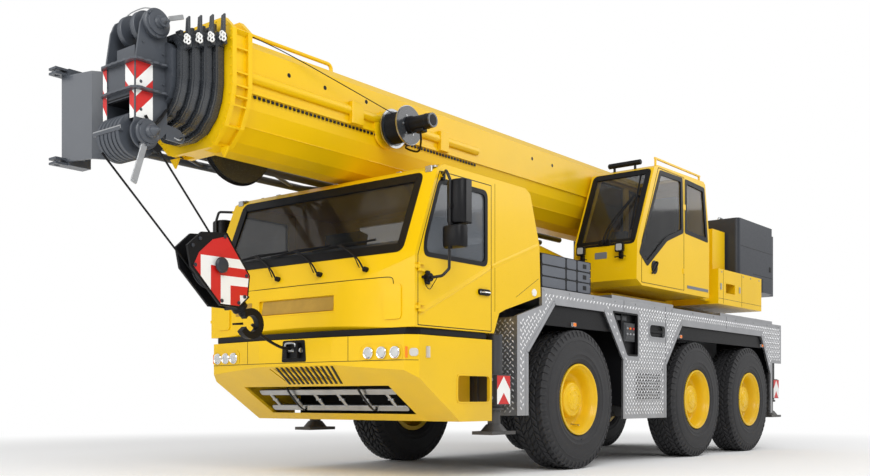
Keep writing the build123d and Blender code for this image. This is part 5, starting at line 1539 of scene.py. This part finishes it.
def boom_head():
    """Chevrons, hubs, guards, ribs and the hood of the boom head."""
    dark = Shape()
    wavy_rib(dark, 2.905)
    wavy_rib(dark, 3.11)
    cone_hub(dark, LOWER, 0.098, HEAD_LEFT + 0.028, 0.325)
    cone_hub(dark, UPPER, 0.106, HEAD_LEFT + 0.03, 0.305)
    for x, z in ((4.11, 2.76), (4.11, 2.98), (4.11, 3.2), (4.3, 2.96), (4.3, 2.76), (4.28, 3.25)):
        dark.bolt((x, HEAD_LEFT, z), "y", 0.009, 0.008)
        dark.bolt((x, HEAD_RIGHT - 0.008, z), "y", 0.009, 0.008)
    dark.plate(rectangle(HEAD_RIGHT - 0.014, HEAD_RIGHT + 0.038, 2.635, 3.102), "x", HEAD_FRONT - 0.001,
               HEAD_FRONT + 0.007, 0.002)
    dark.done("head_ribs", "section_5", "dark_grey")
    groove = Shape()
    for count in range(6):
        y = HEAD_RIGHT + 0.042 + count * 0.048
        groove.lathe([(0.1605, -0.0185), (0.164, -0.014), (0.154, 0.0), (0.164, 0.014), (0.1605, 0.0185),
                      (0.12, 0.019), (0.12, -0.019)], (LOWER[0], y, LOWER[1]), "y", 64, closed=True)
    for y in (-0.095, 0.065):
        groove.lathe([(0.1155, -0.0255), (0.119, -0.018), (0.104, 0.0), (0.119, 0.018), (0.1155, 0.0255),
                      (0.085, 0.0262), (0.085, -0.0262)], (UPPER[0], y, UPPER[1]), "y", 64, closed=True)
    groove.done("head_sheave_rims", "section_5", "dark_grey")
    guard = Shape()
    guard.tube([(4.13, -0.125, 3.505), (4.15, -0.05, 3.53), (4.15, 0.1, 3.53), (4.17, 0.2, 3.5)], 0.004, 8, 6)
    guard.tube([(4.24, -0.125, 3.49), (4.23, -0.05, 3.522), (4.23, 0.1, 3.522), (4.22, 0.19, 3.5)], 0.004, 8,
               6)
    guard.plate(rounded([(4.075, 3.448), (4.085, 3.482), (3.955, 3.534), (3.945, 3.5)], 0.006, 2), "y",
                0.196, 0.204, 0.002)
    guard.plate(rounded(rectangle(-0.232, 0.116, 2.607, 2.634), 0.006, 2), "x", 4.425, 4.4298, 0.001)
    guard.rod((4.42, 0.1, 2.62), (4.4299, 0.1, 2.62), 0.01, 12)
    guard.done("head_rope_guards", "section_5", "steel")
    hood()
    head_chevrons()
    links = Shape()
    links.plate(rounded([(4.262, 2.52), (4.318, 2.51), (4.412, 2.225), (4.362, 2.205)], 0.016, 4), "y", 0.203,
                0.213, 0.003)
    links.rod((4.384, 0.198, 2.232), (4.384, 0.218, 2.232), 0.01, 14)
    links.box(4.27, 4.315, HEAD_LEFT, 0.206, 2.47, 2.515, 0.004)
    links.tube([(4.02, HEAD_LEFT - 0.012, 2.62), (3.98, 0.19, 2.6), (3.944, 0.178, 2.627),
                (3.944, 0.155, 2.627)],
               0.006, 8, 5)
    links.done("head_links", "section_5", "steel")
    hoses = Shape()
    for y, drop in ((0.19, 0.0), (0.202, 0.02), (-0.232, 0.01)):
        hoses.tube([(HEAD_REAR + 0.02, y, 2.8), (HEAD_REAR + 0.09, y + 0.008, 2.72 - drop),
                    (HEAD_REAR + 0.15, y, 2.66), (HEAD_REAR + 0.2, y * 0.98, 2.72)], 0.007, 8, 6)
    hoses.done("head_hoses", "section_5", "black")


def folded(red, white, outline, slope, edges, put):
    """Bands between slanted edges, red and white by turns, that fill an outline."""
    for number, (low, high) in enumerate(zip(edges, edges[1:])):
        part = clipped(clipped(outline, (slope, 1), high), (-slope, -1), -low)
        paint(red if number % 2 else white, part, put)


def paint(target, part, put):
    """Thin layer of paint over a polygon, if any of it is left."""
    if len(part) > 2:
        target.skin([[put(a, b, h) for a, b in oriented(part)] for h in (0.0, PAINT)])


def head_chevrons():
    """Red and white bands folded round the head's front left corner."""
    red, white = Shape(), Shape()
    front = lambda a, b, h: (HEAD_FRONT + 0.0006 + h, a, b)
    left = lambda a, b, h: (a, HEAD_LEFT + 0.0006 + h, b)
    slope = 1.05
    for low, high in ((2.7, 2.896), (2.914, 3.101)):
        edges = [tip + slope * HEAD_LEFT for tip in (2.4, 2.725, 2.845, 2.965, 3.4)]
        folded(red, white, rectangle(HEAD_LEFT - 0.075 if low < 2.8 else 0.045, HEAD_LEFT, low, high), slope,
               edges,
               front)
        edges = [tip + slope * HEAD_FRONT for tip in (2.4, 2.725, 2.845, 2.965, 3.4)]
        folded(red, white, rectangle(4.2, HEAD_FRONT, low, high), slope, edges, left)
    strip = rectangle(HEAD_RIGHT - 0.012, HEAD_RIGHT + 0.036, 2.64, 3.1)
    folded(red, white, strip, 1.6, [2.1 + 0.125 * k for k in range(8)],
           lambda a, b, h: (HEAD_FRONT + 0.0075 + h, a, b))
    red.done("head_chevrons_red", "section_5", "red")
    white.done("head_chevrons_white", "section_5", "white")


def hood():
    """Black recess with a rounded lip above the lower sheaves; its black back plate is a painted shade in the
    recess.
    """
    shape = Shape()
    rings = []
    for y in (HEAD_RIGHT + 0.02, 0.092):
        arc = [(4.325, 2.85), (4.341, 2.862), (4.343, 2.872), (4.33, 2.88), (4.135, 2.872), (4.135, 2.852)]
        rings.append([(x, y, z) for x, z in arc])
    shape.skin(rings)
    # black back plate behind the sheaves: painted shade in the recess
    shape.plate(rectangle(HEAD_RIGHT + 0.019, 0.092, 2.7, 2.85), "x", 4.136, 4.142, 0.002)
    shape.done("sheave_hood", "section_5", "black")


def on_block(p, q):
    """Place in the hook block's own plane, p bands rearwards and q bands down from the chevrons' tip."""
    x, z = 3.7 - 0.0965 * p - LOWER[0], 1.8 - 0.0708 * q - LOWER[1]
    return (x * math.cos(HOOK_LEAN) - z * math.sin(HOOK_LEAN),
            x * math.sin(HOOK_LEAN) + z * math.cos(HOOK_LEAN))


def trimmed(part, field):
    """The part of a polygon inside a convex anticlockwise outline."""
    for a, b in zip(field, field[1:] + field[:1]):
        normal = (b[1] - a[1], a[0] - b[0])
        part = clipped(part, normal, normal[0] * a[0] + normal[1] * a[1])
        if len(part) < 3:
            return []
    return part


def hook_details():
    """Chevrons, bolts, latch and sling of the hook block."""
    place = Matrix.Translation((LOWER[0], 0, LOWER[1])) @ Matrix.Rotation(HOOK_LEAN, 4, "Y")
    red, white = Shape(place=place), Shape(place=place)
    field = inset(oriented([(0.222, -0.985), (0.2, -1.38), (0.06, -1.51), (-0.06, -1.51), (-0.2, -1.38),
                            (-0.222, -1.0), (-0.08, -0.935), (0.1, -0.935)]), 0.014)
    for side in (1, -1):
        for number in range(-1, 7):
            start = number if number >= 0 else -20
            for p0, p1, q0, q1 in ((start, 20, start, number + 1), (start, number + 1, number + 1, 20)):
                part = [on_block(p, q) for p, q in rectangle(p0, p1, q0, q1)]
                paint(red if number % 2 else white, trimmed(oriented(part), field),
                      lambda a, b, h: (a, side * (BLOCK_FACE + h), b))
    red.done("block_chevrons_red", "hook", "red")
    white.done("block_chevrons_white", "hook", "white")
    metal = Shape(place=place)
    for side in (1, -1):
        cap = [(r, side * h) for r, h in ((0.062, 0.0), (0.062, 0.01), (0.048, 0.022), (0.0001, 0.026))]
        metal.lathe(cap, (0, side * 0.1055, BLOCK_SHEAVE_Z), "y", 36)
        nut = [(r, side * h) for r, h in ((0.016, 0.0), (0.016, 0.008), (0.01, 0.012), (0.0001, 0.012))]
        for a, b in ((0.11, -0.875), (0.02, -0.875), (0.19, -1.0), (0.165, -1.36), (0.04, -1.475),
                     (-0.04, -1.475),
                     (-0.165, -1.36), (-0.19, -1.0)):
            metal.lathe(nut, (a, side * 0.08, b), "y", 6)
    for y in (-0.031, 0.031):
        metal.lathe([(0.178, -0.019), (0.181, -0.014), (0.17, 0.0), (0.181, 0.014), (0.178, 0.019),
                     (0.14, 0.0202),
                     (0.14, -0.0202)], (0, y, BLOCK_SHEAVE_Z), "y", 64, closed=True)
    metal.done("block_sheave_rims", "hook", "weight_grey")
    dark = Shape(place=place)
    dark.lathe([(0.06, -1.512), (0.066, -1.52), (0.066, -1.56), (0.06, -1.566), (0.038, -1.568)], (0, 0, 0),
               "z", 36)
    dark.plate([(0.055, -1.655), (0.135, -1.6), (0.145, -1.612), (0.066, -1.672)], "y", -0.012, 0.012, 0.003)
    dark.done("hook_latch", "hook", "black")
    sling = Shape()
    sling.tube([(3.12, 0.0, 1.3), (3.0, 0.01, 1.2), (2.83, 0.01, 1.13), (2.7, 0.0, 1.115)], 0.013, 10, 8)
    sling.done("sling", "hook", "black")


def boards():
    """Red and white boards on the outrigger ends, with bolts."""
    for name, x, low in (("front", 1.3, 0.64), ("rear", -5.39, 0.7)):
        for side_name, side in SIDES:
            tag = name + "_" + side_name
            red, white = Shape(side), Shape(side)
            for way in (1, -1):
                half = rectangle(min(x, x + way * 0.1), max(x, x + way * 0.1), low + 0.005, low + 0.255)
                start = 1.2 * way * x
                for w0, w1, target in ((-1.0, low + 0.105, red), (low + 0.105, low + 0.25, white),
                                       (low + 0.25, 9.0, red)):
                    part = clipped(clipped(half, (1.2 * way, 1), start + w1), (-1.2 * way, -1), -start - w0)
                    paint(target, part, lambda a, b, h: (a, MAT_FACE + h, b))
            red.done("board_red_" + tag, "outrigger_" + tag, "red")
            white.done("board_white_" + tag, "outrigger_" + tag, "white")
            metal = Shape(side)
            for a, b in ((x - 0.125, low + 0.06), (x + 0.125, low + 0.06), (x - 0.125, low + 0.22),
                         (x + 0.125, low + 0.22)):
                metal.bolt((a, 1.2, b), "y", 0.01, 0.008)
            metal.done("outrigger_bolts_" + tag, "outrigger_" + tag, "steel")
            leg = Shape(side)
            leg.lathe([(0.0575, 0.0), (0.085, 0.0), (0.088, 0.006), (0.088, 0.022), (0.08, 0.028),
                       (0.0575, 0.028)],
                      (x, 1.13, low - 0.05), "z", 40)
            leg.done("jack_gland_" + tag, "outrigger_" + tag, "frame_grey")


def mats():
    """Moulded faces on the edges of the stowed mats."""
    for side_name, side in SIDES:
        shape, mat_shade = Shape(side), Shape(side)
        # black sheets behind the mat faces, and the small black plates on them: painted shade in the gaps and
        # openings
        mat_shade.box(-0.285, 0.615, 1.184, 1.1875, 1.745, 2.066, 0.001)
        mat_shade.box(0.614, 0.6165, 0.575, 1.18, 1.745, 2.066, 0.001)
        for layer in range(3):
            z0 = 1.75 + layer * 0.107
            for x0, x1 in ((0.195, 0.608), (-0.012, 0.165), (-0.28, -0.04)):
                shape.plate(rounded(rectangle(x0, x1, z0, z0 + 0.094), 0.022), "y", 1.187, 1.1945, 0.003)
            mat_shade.plate(rounded(rectangle(-0.205, -0.135, z0 + 0.026, z0 + 0.07), 0.006), "y", 1.1942, 1.1955,
                      0.0005)
            for y0, y1 in ((0.585, 0.86), (0.885, 1.175)):
                shape.plate(rounded(rectangle(y0, y1, z0, z0 + 0.094), 0.022), "x", 0.616, 0.6235, 0.003)
        shape.done("mat_faces_" + side_name, "chassis", "mat_grey")
        mat_shade.done("mat_gap_shade_" + side_name, "chassis", "black")


studio()
dress_cad()
wheels()
skirts()
bumper()
cab_front()
cab_doors()
boards()
mats()
operator_cab_trim()
superstructure()
boom()
cylinder()
boom_head()
hook_details()
